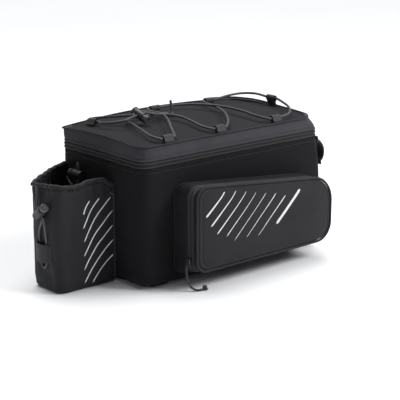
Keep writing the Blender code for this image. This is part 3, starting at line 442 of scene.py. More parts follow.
SLIDER_PAINT = slider_paint()


def zip_slider(name, node, along, out):
    """A die-cast slider: a waisted body with a raised bridge on it."""
    low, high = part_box(node)
    middle = (Vector(low) + Vector(high)) / 2
    along, out = Vector(along), Vector(out)
    turn = Matrix((along, out.cross(along), out)).transposed().to_4x4()
    bm = bmesh.new()
    bmesh.ops.create_cube(bm, size=1.0)
    bmesh.ops.subdivide_edges(bm, edges=bm.edges[:], cuts=4, use_grid_fill=True)
    for vert in bm.verts:
        waist = 1.0 - 0.22 * math.exp(-((vert.co.x + 0.05) / 0.2) ** 2) - 0.25 * max(vert.co.x, 0)
        vert.co = (vert.co.x * 0.0110, vert.co.y * 0.0078 * waist, vert.co.z * 0.0024 - 0.0001)
    edge = [e for e in bm.edges if e.calc_face_angle(0) > 0.8]
    bmesh.ops.bevel(bm, geom=edge, offset=0.0005, segments=2, affect="EDGES", profile=0.5,
                    material=-1)
    bridge = bmesh.ops.create_cube(bm, size=1.0)["verts"]
    for vert in bridge:
        vert.co = (vert.co.x * (0.0058 if vert.co.z > 0 else 0.0072), vert.co.y * 0.0017,
                   0.0014 + vert.co.z * 0.0016)
    bmesh.ops.recalc_face_normals(bm, faces=bm.faces)
    bmesh.ops.transform(bm, matrix=Matrix.Translation(middle) @ turn, verts=bm.verts)
    return sew_on(place_piece(name, bm, SLIDER_PAINT, 45.0), "metal", node)


zip_slider("main_slider", "main_zip_slider", (1, 0, 0), (0, 1, 0))

# Lid.
# A stiffened lid of the same cloth: a band that leans in from the zip, and a crowned panel
# sewn into it behind a corded edge. The far edge arches higher than the near one.
LID_LOW = 0.1751
LID_BAND = 0.018
LID_THICKNESS = 0.003
LID_EDGE = LID_LOW + LID_BAND
ARCH_NEAR = 0.0004
ARCH_FAR = 0.008
CROWN = 0.005
LEAN_NEAR = 0.0045
LEAN_FRONT = 0.004
LEAN_HIDDEN = 0.0
LID_CORNERS = (0.018, 0.022, 0.010, 0.005)
CORD_EDGE = 0.0012
RIM_STAND = 0.0032
LID_SEAM = 0.0048
PANEL_SEAM = 0.974


def lid_height(x, y):
    """Height of the lid's top: arched along the bag and crowned across it."""
    along = max(1 - (x / HALF_LENGTH) ** 2, 0.0)
    across = max(1 - (y / HALF_WIDTH) ** 2, 0.0)
    share = min(max(0.5 + y / WIDTH, 0.0), 1.0)
    return LID_EDGE + (ARCH_NEAR + (ARCH_FAR - ARCH_NEAR) * share) * along + CROWN * across


def lid_outline(lean, count=288):
    """The lid's outline, drawn in by a share of its lean."""
    rear, front = -HALF_LENGTH + LEAN_HIDDEN * lean, HALF_LENGTH - LEAN_FRONT * lean
    near, far = LEAN_NEAR * lean - HALF_WIDTH, HALF_WIDTH - LEAN_HIDDEN * lean
    radii = [low + (top - low) * lean for low, top in zip(CORNERS, LID_CORNERS)]
    return walk_round(((rear, near), (front, near), (front, far), (rear, far)), radii, count)


def lean_at(share):
    """How far the band has leaned in at a share of its height."""
    stops = ((0.0, 0.0), (0.2, 0.0), (0.5, 0.3), (0.8, 0.68), (1.0, 1.0))
    for (low, start), (high, end) in zip(stops, stops[1:]):
        if share <= high:
            return start + (end - start) * (share - low) / (high - low)
    return 1.0


def rim_rise(x, y):
    """How far the band stands over the panel, along the far side and round the front."""
    rise = RIM_STAND
    for reach in ((y + 0.03) / 0.08, (x - 0.094) / 0.03):
        reach = min(max(reach, 0.0), 1.0)
        rise *= reach * reach * (3 - 2 * reach)
    return rise


def band_rings():
    """Rings up the lid's band: a rolled hem, a stitched groove, and a soft face to the top."""
    rings = []
    shares = [0.0, 0.02, 0.06, 0.12, 0.20, 0.23, 0.26, 0.29, 0.36, 0.44, 0.52, 0.60, 0.68, 0.76,
              0.84, 0.91, 0.96, 1.0]
    proud = {0.0: -0.0010, 0.02: -0.0002, 0.06: 0.0005, 0.12: 0.0008, 0.20: 0.0006, 0.23: 0.0001,
             0.26: -0.0003, 0.29: 0.0001, 0.96: 0.0001, 1.0: -0.0006}
    for share in shares:
        ring = []
        for point, out in lid_outline(lean_at(share)):
            top = lid_height(point.x, point.y) + rim_rise(point.x, point.y)
            place = Vector((point.x, point.y, LID_LOW + (top - LID_LOW) * share))
            rise = proud.get(share, 0.0007 * math.sin(math.pi * share))
            rise += crumple(Vector((place.x, place.y, place.z * 0.5)), 0.045, 0.0006) * share
            ring.append(place + Vector((*out, 0.0)) * rise)
        rings.append(ring)
    return rings


def panel_rings():
    """Rings from the corded edge in to the middle of the panel, which swells a little."""
    edge = [point for point, _ in lid_outline(1.0)]
    middle = Vector(((LEAN_HIDDEN - LEAN_FRONT) / 2, 0.0))
    rings = []
    scales = [1.0, 0.992, 0.984, 0.974, 0.962, 0.95, 0.93, 0.90, 0.86, 0.81, 0.76, 0.70, 0.64,
              0.57, 0.50, 0.43, 0.36, 0.29, 0.22, 0.15, 0.08, 0.0]
    sink = {1.0: -0.0009, 0.992: -0.0006, 0.984: -0.0002, 0.974: -0.0009, 0.962: -0.0003}
    for scale in scales:
        ring = []
        for point in edge:
            spot = middle + (point - middle) * scale
            place = Vector((spot.x, spot.y, lid_height(spot.x, spot.y)))
            dip = sink.get(scale, 0.0)
            slack = max(min((1 - scale) * 6, 1.0), 0.0)
            place.z += dip - 0.0006 * slack + crumple(place, 0.055, 0.0008) * slack
            ring.append(place)
        rings.append(ring)
    return rings


# the band's cloth is painted paler than the panel's: painted light for the light on its leaning face
LID_BAND_CLOTH_PAINTED_LIGHT = woven_cloth("lid_band_cloth_painted_light", (0.0385, 0.0376, 0.0435), 0.0008)
PANEL_CLOTH = woven_cloth("lid_panel_cloth", (0.0122, 0.0118, 0.0139), 0.0008, source="Object")
lid_band = skin_over("lid_band", band_rings(), LID_BAND_CLOTH_PAINTED_LIGHT, (0.95, 0.020))
give_wall(lid_band, LID_THICKNESS)
sew_on(lid_band, "fabric", "lid")
lid_panel = skin_over("lid_panel", panel_rings(), PANEL_CLOTH, (0.95, 0.090))
give_wall(lid_panel, LID_THICKNESS)
sew_on(lid_panel, "fabric", "lid")

hem_line = []
hem_out = []
for point, out in lid_outline(0.09):
    hem_line.append(Vector((*(point - out * 0.0002), LID_LOW + LID_SEAM)))
    hem_out.append(Vector((*out, 0.0)))
stitch_row("lid_hem_stitches", hem_line, hem_out)
panel_line = []
panel_middle = Vector(((LEAN_HIDDEN - LEAN_FRONT) / 2, 0.0))
for point, out in lid_outline(1.0):
    spot = panel_middle + (point - panel_middle) * PANEL_SEAM
    panel_line.append(Vector((*spot, lid_height(*spot) - 0.0007)))
stitch_row("lid_panel_stitches", panel_line, [Vector((0, 0, 1))] * len(panel_line))


def carry_frames(path, closed=False):
    """Two directions across a path at each point, carried along it without twisting."""
    frames = []
    side = None
    last = len(path) - 1
    for i, here in enumerate(path):
        if closed:
            along = (path[(i + 1) % len(path)] - path[i - 1]).normalized()
        else:
            along = (path[min(i + 1, last)] - path[max(i - 1, 0)]).normalized()
        if side is None:
            side = along.orthogonal().normalized()
        side = (side - along * side.dot(along)).normalized()
        frames.append((side, along.cross(side).normalized()))
    return frames


def round_cord(name, path, radius, finish, sides=12, closed=False, swell=None):
    """A round cord, piping or rolled hem along a path, its ends closed over."""
    frames = carry_frames(path, closed)
    rings = []
    length = 0.0
    for i, (here, (one, two)) in enumerate(zip(path, frames)):
        length += (here - path[i - 1]).length if i else 0.0
        wide = radius * (swell(i / (len(path) - 1), length) if swell else 1.0)
        rings.append([here + (one * math.cos(a) + two * math.sin(a)) * wide
                      for a in (2 * math.pi * k / sides for k in range(sides))])
    if closed:
        rings.append(rings[0])
    else:
        for end, beside in ((0, 1), (-1, -2)):
            along = (path[end] - path[beside]).normalized()
            tip = path[end] + along * radius * 0.5
            ring = [path[end] + along * radius * 0.35 + (spot - path[end]) * 0.7
                    for spot in rings[end]]
            extra = [ring, [tip] * sides]
            rings = list(reversed(extra)) + rings if end == 0 else rings + extra
    piece = skin_over(name, rings, finish, (2 * math.pi * radius, length), sharp=70)
    bm = bmesh.new()
    bm.from_mesh(piece.data)
    bmesh.ops.recalc_face_normals(bm, faces=bm.faces)
    bm.to_mesh(piece.data)
    bm.free()
    return piece


PIPING_CLOTH = woven_cloth("piping_cloth", (0.0255, 0.0249, 0.0285), 0.0006, source="Object")
corded = []
for point, out in lid_outline(1.0, 320):
    spot = point + out * 0.0010
    top = lid_height(point.x, point.y) + rim_rise(point.x, point.y)
    corded.append(Vector((*spot, top + 0.0007)))
sew_on(round_cord("lid_corded_edge", corded, CORD_EDGE, PIPING_CLOTH, 10, closed=True), "piping",
       "lid_piping")

# Webbing tabs on the lid.
# Six short loops of sixteen millimetre nylon webbing and a taller one at the front, sewn down
# behind the corded edge with a box of stitches and pulled up by the cord through their eyes.
TAB_WIDTH = 0.016
TAB_TONGUE = 0.0040
FRONT_TONGUE = 0.0075
TAB_PLY = 0.0011
TAB_EYE = 0.0030
TAB_TILT = 8.0
FRONT_TILT = 62.0
PLY_GAP = 0.0003
TAB_LIFT = 0.0006
NEAR_ROOT = LEAN_NEAR - HALF_WIDTH + 0.0015
FAR_ROOT = HALF_WIDTH - LEAN_HIDDEN - 0.0255
REAR_ROOT = LEAN_HIDDEN - HALF_LENGTH + 0.0247
FRONT_ROOT = HALF_LENGTH - LEAN_FRONT - 0.0025


def webbing_cloth(name, colour, rib=0.0017, source="UV", ways=("Y", "X")):
    """Nylon webbing: flat ribs along it, crossed by fine picks."""
    material, tree, shader = start_finish(name, 0.66, 0.32)
    shader.inputs["Sheen Weight"].default_value = 0.08
    seat = add_node(tree, "ShaderNodeTexCoord").outputs[source]
    own = add_node(tree, "ShaderNodeTexCoord").outputs["Object"]
    ribs = add_node(tree, "ShaderNodeTexWave", {"Vector": seat}, bands_direction=ways[0],
                    scale=ONE_BAND / rib, distortion=0.0).outputs[1]
    picks = add_node(tree, "ShaderNodeTexWave", {"Vector": seat}, bands_direction=ways[1],
                     scale=ONE_BAND / 0.0008, distortion=0.0).outputs[1]
    both = add_node(tree, "ShaderNodeMath", {0: ribs, 1: picks}, operation="ADD")
    half = add_node(tree, "ShaderNodeMath", {0: both.outputs[0]}, operation="MULTIPLY")
    half.inputs[1].default_value = 0.5
    dust = add_node(tree, "ShaderNodeTexNoise", {"Vector": own}, scale=60.0, detail=4.0)
    level = add_node(tree, "ShaderNodeMath", {0: half.outputs[0], 1: dust.outputs[0]},
                     operation="MULTIPLY")
    ramp = add_node(tree, "ShaderNodeValToRGB", {"Fac": level.outputs[0]})
    ramp.color_ramp.elements[0].color = (*[channel * 0.75 for channel in colour], 1.0)
    ramp.color_ramp.elements[1].position = 0.6
    ramp.color_ramp.elements[1].color = (*[channel * 1.4 for channel in colour], 1.0)
    tree.links.new(ramp.outputs["Color"], shader.inputs["Base Color"])
    rise = add_node(tree, "ShaderNodeBump", {"Height": half.outputs[0]}, strength=0.6,
                    distance=0.0004)
    tree.links.new(rise.outputs[0], shader.inputs["Normal"])
    return material


TAB_WEBBING = webbing_cloth("tab_webbing", (0.027, 0.0265, 0.030))


def tab_section(tilt, tongue=TAB_TONGUE):
    """The tab from its root out along the lower ply, round the eye and back, and the eye's middle."""
    low = TAB_PLY / 2
    high = low + TAB_PLY + PLY_GAP
    radius = TAB_EYE + TAB_PLY / 2
    centre = (tongue + radius, low + radius)
    stop = math.pi - math.asin((centre[1] - high) / radius)
    flat = [(0.0, low), (tongue * 0.33, low), (tongue * 0.66, low), (tongue, low)]
    for step in range(23):
        angle = -math.pi / 2 + (stop + math.pi / 2) * step / 22
        flat.append((centre[0] + radius * math.cos(angle), centre[1] + radius * math.sin(angle)))
    flat += [(tongue * 0.66, high), (tongue * 0.33, high), (0.0, high)]
    lean = math.radians(tilt)
    turned = [(reach * math.cos(lean) - up * math.sin(lean),
               reach * math.sin(lean) + up * math.cos(lean) + TAB_LIFT)
              for reach, up in flat + [centre]]
    return turned[:-1], turned[-1]


def webbing_tab(name, node, root, inward, tilt=TAB_TILT, tongue=TAB_TONGUE):
    """One loop of webbing, with a foot that is sewn flat on the lid behind its root."""
    root, inward = Vector(root), Vector(inward)
    across = Vector((-inward.y, inward.x))
    section, eye = tab_section(tilt, tongue)
    rings = []
    for reach, up in section:
        ring = []
        for side in (-0.5, -0.46, -0.25, 0.0, 0.25, 0.46, 0.5):
            place = root + inward * reach + across * (side * TAB_WIDTH)
            roll = -0.00025 if abs(side) == 0.5 else 0.0
            ring.append(Vector((place.x, place.y, lid_height(place.x, place.y) + up + roll)))
        rings.append(ring)
    tab = skin_over(name, rings, TAB_WEBBING, (TAB_WIDTH, 0.036), closed=False, sharp=60)
    give_wall(tab, TAB_PLY, 0.0)
    tab.modifiers.new("edge", "BEVEL").width = 0.0003
    sew_on(tab, "webbing", node)
    lean = math.radians(tilt)
    rise = Vector((*(-inward * math.sin(lean)), math.cos(lean)))
    ahead = Vector((*(inward * math.cos(lean)), math.sin(lean)))
    for row, back in enumerate((0.0010, 0.0028)):
        ends = []
        for side in (-0.42, 0.42):
            spot = root + across * (side * TAB_WIDTH)
            ends.append(Vector((*spot, lid_height(*spot) + TAB_LIFT)) + ahead * back
                        + rise * (2 * TAB_PLY + PLY_GAP))
        stitch_row(f"{name}_stitches_{row}", ends, [rise, rise], 0.0021, 0.0015,
                   slot_name="webbing", closed=False)


EYE = tab_section(TAB_TILT)[1]
FRONT_EYE = tab_section(FRONT_TILT, FRONT_TONGUE)[1]
NEAR_TABS = (-0.108, -0.0165, 0.088)
FAR_TABS = (-0.022, 0.081)
REAR_TAB = 0.0595
FRONT_TAB = -0.002
for number, place in enumerate(NEAR_TABS, 1):
    webbing_tab(f"near_tab_{number}", f"lid_tab_near_{number}", (place, NEAR_ROOT), (0, 1))
for number, place in enumerate(FAR_TABS, 1):
    webbing_tab(f"far_tab_{number}", f"lid_tab_far_{number}", (place, FAR_ROOT), (0, -1))
webbing_tab("rear_tab", "lid_tab_rear", (REAR_ROOT, REAR_TAB), (1, 0))
webbing_tab("front_tab", "lid_tab_front", (FRONT_ROOT, FRONT_TAB), (-1, 0), FRONT_TILT,
            FRONT_TONGUE)

# Elastic lacing.
# One braided elastic cord, three and a half millimetres thick, laced through the seven tabs
# and a sprung lock, its two ends tied in an overhand knot with a short tail standing up.
BUNGEE = 0.00175
KNOT_SIZE = 0.0042
LOCK_RADIUS = 0.0064
LOCK_LENGTH = 0.019
SLOT_LENGTH = 0.0086
LID_LOCK_SEAT = (-0.086, 0.012)
LID_LOCK_WAY = Vector((0.16, -0.91, -0.39)).normalized()
LID_LOCK_CORD = (Vector((1, 0, 0)) - LID_LOCK_WAY * LID_LOCK_WAY.x).normalized()
LID_LOCK = Vector((*LID_LOCK_SEAT, lid_height(*LID_LOCK_SEAT) + 0.0140))
KNOT_SEAT = (-0.0225, 0.0195)
KNOT = Vector((*KNOT_SEAT, lid_height(*KNOT_SEAT) + KNOT_SIZE + 0.0006))


def smooth_path(points, count, bend=0.012):
    """Points on a smooth curve through the given ones, closer together where it bends."""
    points = [Vector(point) for point in points]
    ends = [points[0] * 2 - points[1]] + points + [points[-1] * 2 - points[-2]]
    fine = []
    for a, b, c, d in zip(ends, ends[1:], ends[2:], ends[3:]):
        for step in range(16):
            t = step / 16
            fine.append(0.5 * ((2 * b) + (c - a) * t + (2 * a - 5 * b + 4 * c - d) * t ** 2
                               + (3 * b - a - 3 * c + d) * t ** 3))
    fine.append(points[-1])
    measure = [0.0]
    for i, (here, there) in enumerate(zip(fine, fine[1:])):
        turn = (here - fine[i - 1]).angle(there - here) if i else 0.0
        measure.append(measure[-1] + (there - here).length + bend * turn)
    spaced = []
    i = 0
    for step in range(count):
        want = measure[-1] * step / (count - 1)
        while i < len(measure) - 2 and measure[i + 1] < want:
            i += 1
        share = (want - measure[i]) / (measure[i + 1] - measure[i])
        spaced.append(fine[i].lerp(fine[i + 1], min(share, 1.0)))
    return spaced


def braided_cord(name, colour, pitch=0.0026, painted_glint=0.0):
    """A braided sleeve: two sets of strands crossing round the cord, their crowns with a painted
    highlight.
    """
    material, tree, shader = start_finish(name, 0.50, 0.42)
    shader.inputs["Sheen Weight"].default_value = 0.10
    seat = add_node(tree, "ShaderNodeTexCoord").outputs["UV"]
    sets = []
    for turn in (0.62, -0.62):
        leaned = add_node(tree, "ShaderNodeMapping", {"Vector": seat})
        leaned.inputs["Rotation"].default_value = (0.0, 0.0, turn)
        sets.append(add_node(tree, "ShaderNodeTexWave", {"Vector": leaned.outputs[0]},
                             bands_direction="X", scale=ONE_BAND / (pitch * 0.5),
                             distortion=0.0).outputs[1])
    braid = add_node(tree, "ShaderNodeMath", {0: sets[0], 1: sets[1]}, operation="MAXIMUM")
    ramp = add_node(tree, "ShaderNodeValToRGB", {"Fac": braid.outputs[0]})
    ramp.color_ramp.elements[0].position = 0.35
    ramp.color_ramp.elements[0].color = (*[channel * 0.5 for channel in colour], 1.0)
    # the strands' lighter colour carries an added painted highlight
    ramp.color_ramp.elements[1].color = (*[channel * 1.3 + painted_glint for channel in colour], 1.0)
    tree.links.new(ramp.outputs["Color"], shader.inputs["Base Color"])
    rise = add_node(tree, "ShaderNodeBump", {"Height": braid.outputs[0]}, strength=0.55,
                    distance=0.0003)
    tree.links.new(rise.outputs[0], shader.inputs["Normal"])
    return material


# the bungee's strands carry a faint painted highlight
BUNGEE_BRAID = braided_cord("bungee_braid", (0.036, 0.035, 0.041), painted_glint=0.012)


def through_tab(root, inward, eye, way):
    """Places straight through a tab's eye, with their lift over the lid."""
    middle = Vector(root) + Vector(inward) * eye[0]
    across = Vector((abs(inward[1]), abs(inward[0]))) * way
    return [(*(middle + across * (TAB_WIDTH * share)), eye[1])
            for share in (-0.78, -0.52, 0.52, 0.78)]


def near_eye(number, way):
    """The pass through a near tab."""
    return through_tab((NEAR_TABS[number - 1], NEAR_ROOT), (0, 1), EYE, way)


def far_eye(number, way):
    """The pass through a far tab."""
    return through_tab((FAR_TABS[number - 1], FAR_ROOT), (0, -1), EYE, way)


def lid_lock_point(along, shift):
    """A point in the lid's lock, with its lift over the lid."""
    point = LID_LOCK + LID_LOCK_CORD * along + LID_LOCK_WAY * shift
    return (point.x, point.y, point.z - lid_height(point.x, point.y))


LOCK_SHIFT = SLOT_LENGTH / 4
KNOT_SIDE = KNOT_SEAT[0] - KNOT_SIZE - 0.0003 - BUNGEE / 2
lacing_route = (
    (KNOT_SIDE, KNOT_SEAT[1] - 0.001, KNOT_SIZE + 0.0006), (-0.042, 0.0185, 0.0055),
    (-0.058, 0.019, 0.0100),
    lid_lock_point(0.013, -LOCK_SHIFT), lid_lock_point(0.007, -LOCK_SHIFT),
    lid_lock_point(-0.007, -LOCK_SHIFT), lid_lock_point(-0.013, -LOCK_SHIFT),
    (-0.110, 0.036, 0.0110), (-0.1160, 0.056, 0.0085), (-0.1200, 0.071, 0.0065),
    *through_tab((REAR_ROOT, REAR_TAB), (1, 0), EYE, -1),
    (-0.1330, 0.032, 0.0068), (-0.1275, 0.014, 0.0090), (-0.1130, 0.004, 0.0115),
    lid_lock_point(-0.013, LOCK_SHIFT), lid_lock_point(-0.007, LOCK_SHIFT),
    lid_lock_point(0.007, LOCK_SHIFT), lid_lock_point(0.013, LOCK_SHIFT),
    (-0.056, 0.010, 0.0090), (-0.040, 0.0065, 0.0070), (-0.030, -0.012, 0.0060),
    (-0.031, -0.036, 0.0055), (-0.034, -0.060, 0.0055),
    *near_eye(2, 1),
    (0.009, -0.066, 0.0056), (0.0225, -0.050, 0.0055), (0.040, -0.024, 0.0055),
    (0.053, 0.008, 0.0055), (0.060, 0.038, 0.0055),
    *far_eye(2, 1),
    (0.104, 0.0565, 0.0080), (0.122, 0.0555, 0.0110), (0.143, 0.051, 0.0130),
    (0.155, 0.036, 0.0132),
    *through_tab((FRONT_ROOT, FRONT_TAB), (-1, 0), FRONT_EYE, -1),
    (0.1480, -0.030, 0.0105), (0.1430, -0.046, 0.0085), (0.1320, -0.062, 0.0068),
    (0.117, -0.073, 0.0060),
    *near_eye(3, -1),
    (0.066, -0.058, 0.0068), (0.0640, -0.034, 0.0075), (0.0560, 0.002, 0.0075),
    (0.038, 0.032, 0.0072), (0.014, 0.051, 0.0065),
    *far_eye(1, -1),
    (-0.0420, 0.040, 0.0066), (-0.0430, 0.014, 0.0068), (-0.0570, -0.016, 0.0066),
    (-0.0750, -0.044, 0.0062), (-0.0860, -0.062, 0.0059),
    *near_eye(1, -1),
    (-0.1230, -0.060, 0.0055), (-0.1150, -0.030, 0.0055), (-0.105, 0.002, 0.0048),
    (-0.099, 0.022, 0.0040), (-0.086, 0.034, 0.0038), (-0.064, 0.034, 0.0036),
    (-0.042, 0.030, 0.0038),
    (KNOT_SIDE, KNOT_SEAT[1] + 0.0035, KNOT_SIZE + 0.0006),
)
lacing_path = smooth_path([(x, y, lid_height(x, y) + up) for x, y, up in lacing_route], 560)


def overhand_knot(name, middle, radius, finish):
    """An overhand knot pulled tight: a turn and a half of the cord round itself."""
    turns = []
    for step in range(61):
        angle = 2 * math.pi * 1.5 * step / 60
        ring = 1.15 + 0.34 * math.sin(angle * 1.5)
        turns.append(middle + Vector((ring * math.cos(angle), ring * math.sin(angle) * 1.1,
                                      0.97 * math.sin(angle * 0.75 + 0.4))) * radius)
    return round_cord(name, turns, radius * 1.05, finish, 12)


lacing = round_cord("elastic_lacing", lacing_path, BUNGEE, BUNGEE_BRAID, 12)
sew_on(lacing, "cord", "bungee")
lacing_knot = sew_on(overhand_knot("lacing_knot", KNOT, BUNGEE, BUNGEE_BRAID), "cord",
                     "bungee_knot")
tail_path = smooth_path([KNOT + Vector(step) for step in
                         ((0, 0, 0.0015), (0, 0, KNOT_SIZE + 0.0003), (0.001, 0, 0.008),
                          (0.001, 0.001, 0.012), (0, 0.001, 0.017))], 26)
lacing_tail = sew_on(round_cord("lacing_tail", tail_path, BUNGEE, BUNGEE_BRAID, 12), "cord",
                     "bungee_tail")

# Cord locks.
# Moulded acetal: a barrel with a slot across it, and a sprung button that is pressed in to
# free the cord. One sits on the lid, one outside the rear pocket and one inside it.
LOCK_FLOOR = 0.002
BUTTON_RADIUS = 0.0046
BUTTON_HEAD = 0.0060
BUTTON_TOP = 0.0050
BUTTON_TRAVEL = 0.0030
CLEAR = 0.0003


def moulded_plastic(name, colour, rough=0.40):
    """Black moulded plastic with a fine spark-eroded grain and handling marks."""
    material, tree, shader = start_finish(name, rough, 0.5)
    seat = add_node(tree, "ShaderNodeTexCoord").outputs["Object"]
    grain = add_node(tree, "ShaderNodeTexNoise", {"Vector": seat}, scale=2600.0, detail=2.0)
    marks = add_node(tree, "ShaderNodeTexNoise", {"Vector": seat}, scale=220.0, detail=6.0)
    ramp = add_node(tree, "ShaderNodeValToRGB", {"Fac": marks.outputs[0]})
    ramp.color_ramp.elements[0].color = (*[channel * 0.8 for channel in colour], 1.0)
    ramp.color_ramp.elements[1].color = (*[channel * 1.5 for channel in colour], 1.0)
    tree.links.new(ramp.outputs["Color"], shader.inputs["Base Color"])
    gloss = add_node(tree, "ShaderNodeMapRange", {"Value": marks.outputs[0]}, to_min=rough - 0.1,
                     to_max=rough + 0.12)
    tree.links.new(gloss.outputs[0], shader.inputs["Roughness"])
    rise = add_node(tree, "ShaderNodeBump", {"Height": grain.outputs[0]}, strength=0.25,
                    distance=0.0001)
    tree.links.new(rise.outputs[0], shader.inputs["Normal"])
    return material


BARREL_PLASTIC = moulded_plastic("barrel_plastic", (0.022, 0.022, 0.024), 0.40)
BUTTON_PLASTIC = moulded_plastic("button_plastic", (0.050, 0.050, 0.054), 0.34)


def spun(profile, origin, axis, steps=48):
    """A turned solid from a profile of radius and height, spun about an axis."""
    bm = bmesh.new()
    row = [bm.verts.new((radius, 0.0, height)) for radius, height in profile]
    line = [bm.edges.new(pair) for pair in zip(row, row[1:])]
    bmesh.ops.spin(bm, geom=row + line, cent=(0, 0, 0), axis=(0, 0, 1), angle=2 * math.pi,
                   steps=steps, use_merge=True)
    bmesh.ops.remove_doubles(bm, verts=bm.verts, dist=1e-6)
    bmesh.ops.recalc_face_normals(bm, faces=bm.faces)
    turn = Vector(axis).to_track_quat("Z", "Y").to_matrix().to_4x4()
    bmesh.ops.transform(bm, matrix=Matrix.Translation(origin) @ turn, verts=bm.verts)
    return bm


def slot_through(piece, middle, axis, passing, length, height):
    """Cuts a round-ended slot through a piece, and keeps only the result."""
    side = axis.cross(passing)
    bm = bmesh.new()
    bmesh.ops.create_circle(bm, cap_ends=True, radius=height / 2, segments=32)
    for vert in bm.verts:
        vert.co.x += (length - height) / 2 * (1 if vert.co.x > 0 else -1)
    far = bmesh.ops.extrude_face_region(bm, geom=bm.faces[:])["geom"]
    tops = [item for item in far if isinstance(item, bmesh.types.BMVert)]
    bmesh.ops.translate(bm, verts=tops, vec=(0, 0, LOCK_RADIUS * 3.2))
    bmesh.ops.translate(bm, verts=bm.verts, vec=(0, 0, -LOCK_RADIUS * 1.6))
    bmesh.ops.recalc_face_normals(bm, faces=bm.faces)
    turn = Matrix((axis, side, passing)).transposed().to_4x4()
    bmesh.ops.transform(bm, matrix=Matrix.Translation(middle) @ turn, verts=bm.verts)
    bmesh.ops.recalc_face_normals(bm, faces=bm.faces)
    punch = place_piece("slot_punch", bm, piece.data.materials[0])
    cut = piece.modifiers.new("slot", "BOOLEAN")
    cut.operation = "DIFFERENCE"
    cut.object = punch
    seen = piece.evaluated_get(bpy.context.evaluated_depsgraph_get())
    result = bpy.data.meshes.new_from_object(seen)
    piece.modifiers.clear()
    piece.data = result
    bpy.data.objects.remove(punch)
    result.set_sharp_from_angle(angle=math.radians(38))
    return piece


def cord_lock(name, node, middle, axis, passing, cord, body):
    """A barrel with grip rings, and its button with a dished head."""
    bottom = middle - axis * (LOCK_LENGTH / 2)
    lip = LOCK_RADIUS / 6
    tall = LOCK_LENGTH
    shell = [(0, 0), (LOCK_RADIUS * 0.55, 0), (LOCK_RADIUS - lip, 0.0001),
             (LOCK_RADIUS - lip * 0.3, lip * 0.3), (LOCK_RADIUS, lip), (LOCK_RADIUS, 0.0022),
             (LOCK_RADIUS - 0.0004, 0.0025),
             (LOCK_RADIUS - 0.0004, 0.0031), (LOCK_RADIUS, 0.0034), (LOCK_RADIUS, tall - 0.0034),
             (LOCK_RADIUS - 0.0004, tall - 0.0031), (LOCK_RADIUS - 0.0004, tall - 0.0025),
             (LOCK_RADIUS, tall - 0.0022), (LOCK_RADIUS, tall - lip / 2),
             (LOCK_RADIUS - lip / 2, tall), (BUTTON_RADIUS + CLEAR, tall),
             (BUTTON_RADIUS + CLEAR, LOCK_FLOOR), (0, LOCK_FLOOR)]
    barrel = place_piece(f"{name}_shell", spun(shell, bottom, axis), BARREL_PLASTIC)
    high = 2 * (cord + 0.0004)
    slot_through(barrel, middle, axis, passing, SLOT_LENGTH, high)
    sew_on(barrel, "plastic", f"{node}_barrel")
    foot = LOCK_FLOOR + BUTTON_TRAVEL + CLEAR
    head = tall + BUTTON_TRAVEL + CLEAR
    top = head + BUTTON_TOP
    press = [(0, foot), (BUTTON_RADIUS, foot), (BUTTON_RADIUS, head), (BUTTON_HEAD, head),
             (BUTTON_HEAD, top - lip), (BUTTON_HEAD - lip * 0.35, top - lip * 0.45),
             (BUTTON_HEAD - lip, top - lip * 0.15), (BUTTON_HEAD * 0.72, top),
             (BUTTON_HEAD * 0.64, top - 0.0004), (BUTTON_HEAD * 0.3, top - 0.0005), (0, top - 0.0005)]
    button = place_piece(f"{name}_press", spun(press, bottom, axis), BUTTON_PLASTIC)
    slot_through(button, middle, axis, passing, SLOT_LENGTH + 2 * BUTTON_TRAVEL, high)
    sew_on(button, "plastic", f"{node}_button", body=body)


cord_lock("lid_cord_lock", "lid_lock", LID_LOCK, LID_LOCK_WAY, LID_LOCK_CORD, BUNGEE, "lid_button")

# Side pockets.
# A zipped pocket on each side. Two strips of cloth and the zip between them make its depth, and a
# foam-backed face is sewn to the outer strip behind corded piping. The far one is the mirror.
POCKET_REAR = 0.109
POCKET_FRONT = 0.149
POCKET_LOW = 0.014
POCKET_HIGH_REAR = 0.141
POCKET_HIGH_FRONT = 0.115
POCKET_DEPTH = 0.045
POCKET_TAPER = 0.006
POCKET_LIFT = 0.014
POCKET_CORNERS = (0.024, 0.036, 0.015, 0.015)
INNER_STRIP = 0.024
POCKET_ZIP = 0.012
FACE_THICKNESS = 0.0028
FACE_CROWN = 0.004
STRIP_THICKNESS = 0.0018
PUFF = 0.0018


def pocket_outline(depth, count=220):
    """The pocket's outline at a depth from the wall, as length and height."""
    share = depth / POCKET_DEPTH
    taper, low = POCKET_TAPER * share, POCKET_LOW + POCKET_LIFT * share
    return walk_round(((POCKET_FRONT - taper, low), (POCKET_FRONT - taper, POCKET_HIGH_FRONT),
                       (taper - POCKET_REAR, POCKET_HIGH_REAR), (taper - POCKET_REAR, low)),
                      POCKET_CORNERS, count)


def pocket_ring(depth, off=0.0, slack=0.0, count=220):
    """A ring round the near pocket at a depth, moved out, with slack folds in the cloth."""
    ring = []
    for point, out in pocket_outline(depth, count):
        place = Vector((point.x, -depth, point.y))
        rise = off + crumple(Vector((place.x, place.y * 1.8, place.z)), 0.030, slack)
        spot = point + out * rise
        ring.append(Vector((spot.x, -(HALF_WIDTH + CLEAR + depth), spot.y)))
    return ring


def mirrored_far(piece, name, slot_name, *nodes):
    """The same piece for the far pocket: mirrored across the bag, its faces turned back out."""
    bm = bmesh.new()
    bm.from_mesh(piece.data)
    bmesh.ops.scale(bm, vec=(1, -1, 1), verts=bm.verts)
    bmesh.ops.reverse_faces(bm, faces=bm.faces)
    mesh = bpy.data.meshes.new(name)
    bm.to_mesh(mesh)
    bm.free()
    mesh.materials.append(piece.data.materials[0])
    far = bpy.data.objects.new(name, mesh)
    bpy.context.scene.collection.objects.link(far)
    for old in piece.modifiers:
        if old.type == "SOLIDIFY":
            give_wall(far, old.thickness, old.offset)
    return sew_on(far, slot_name, *nodes)


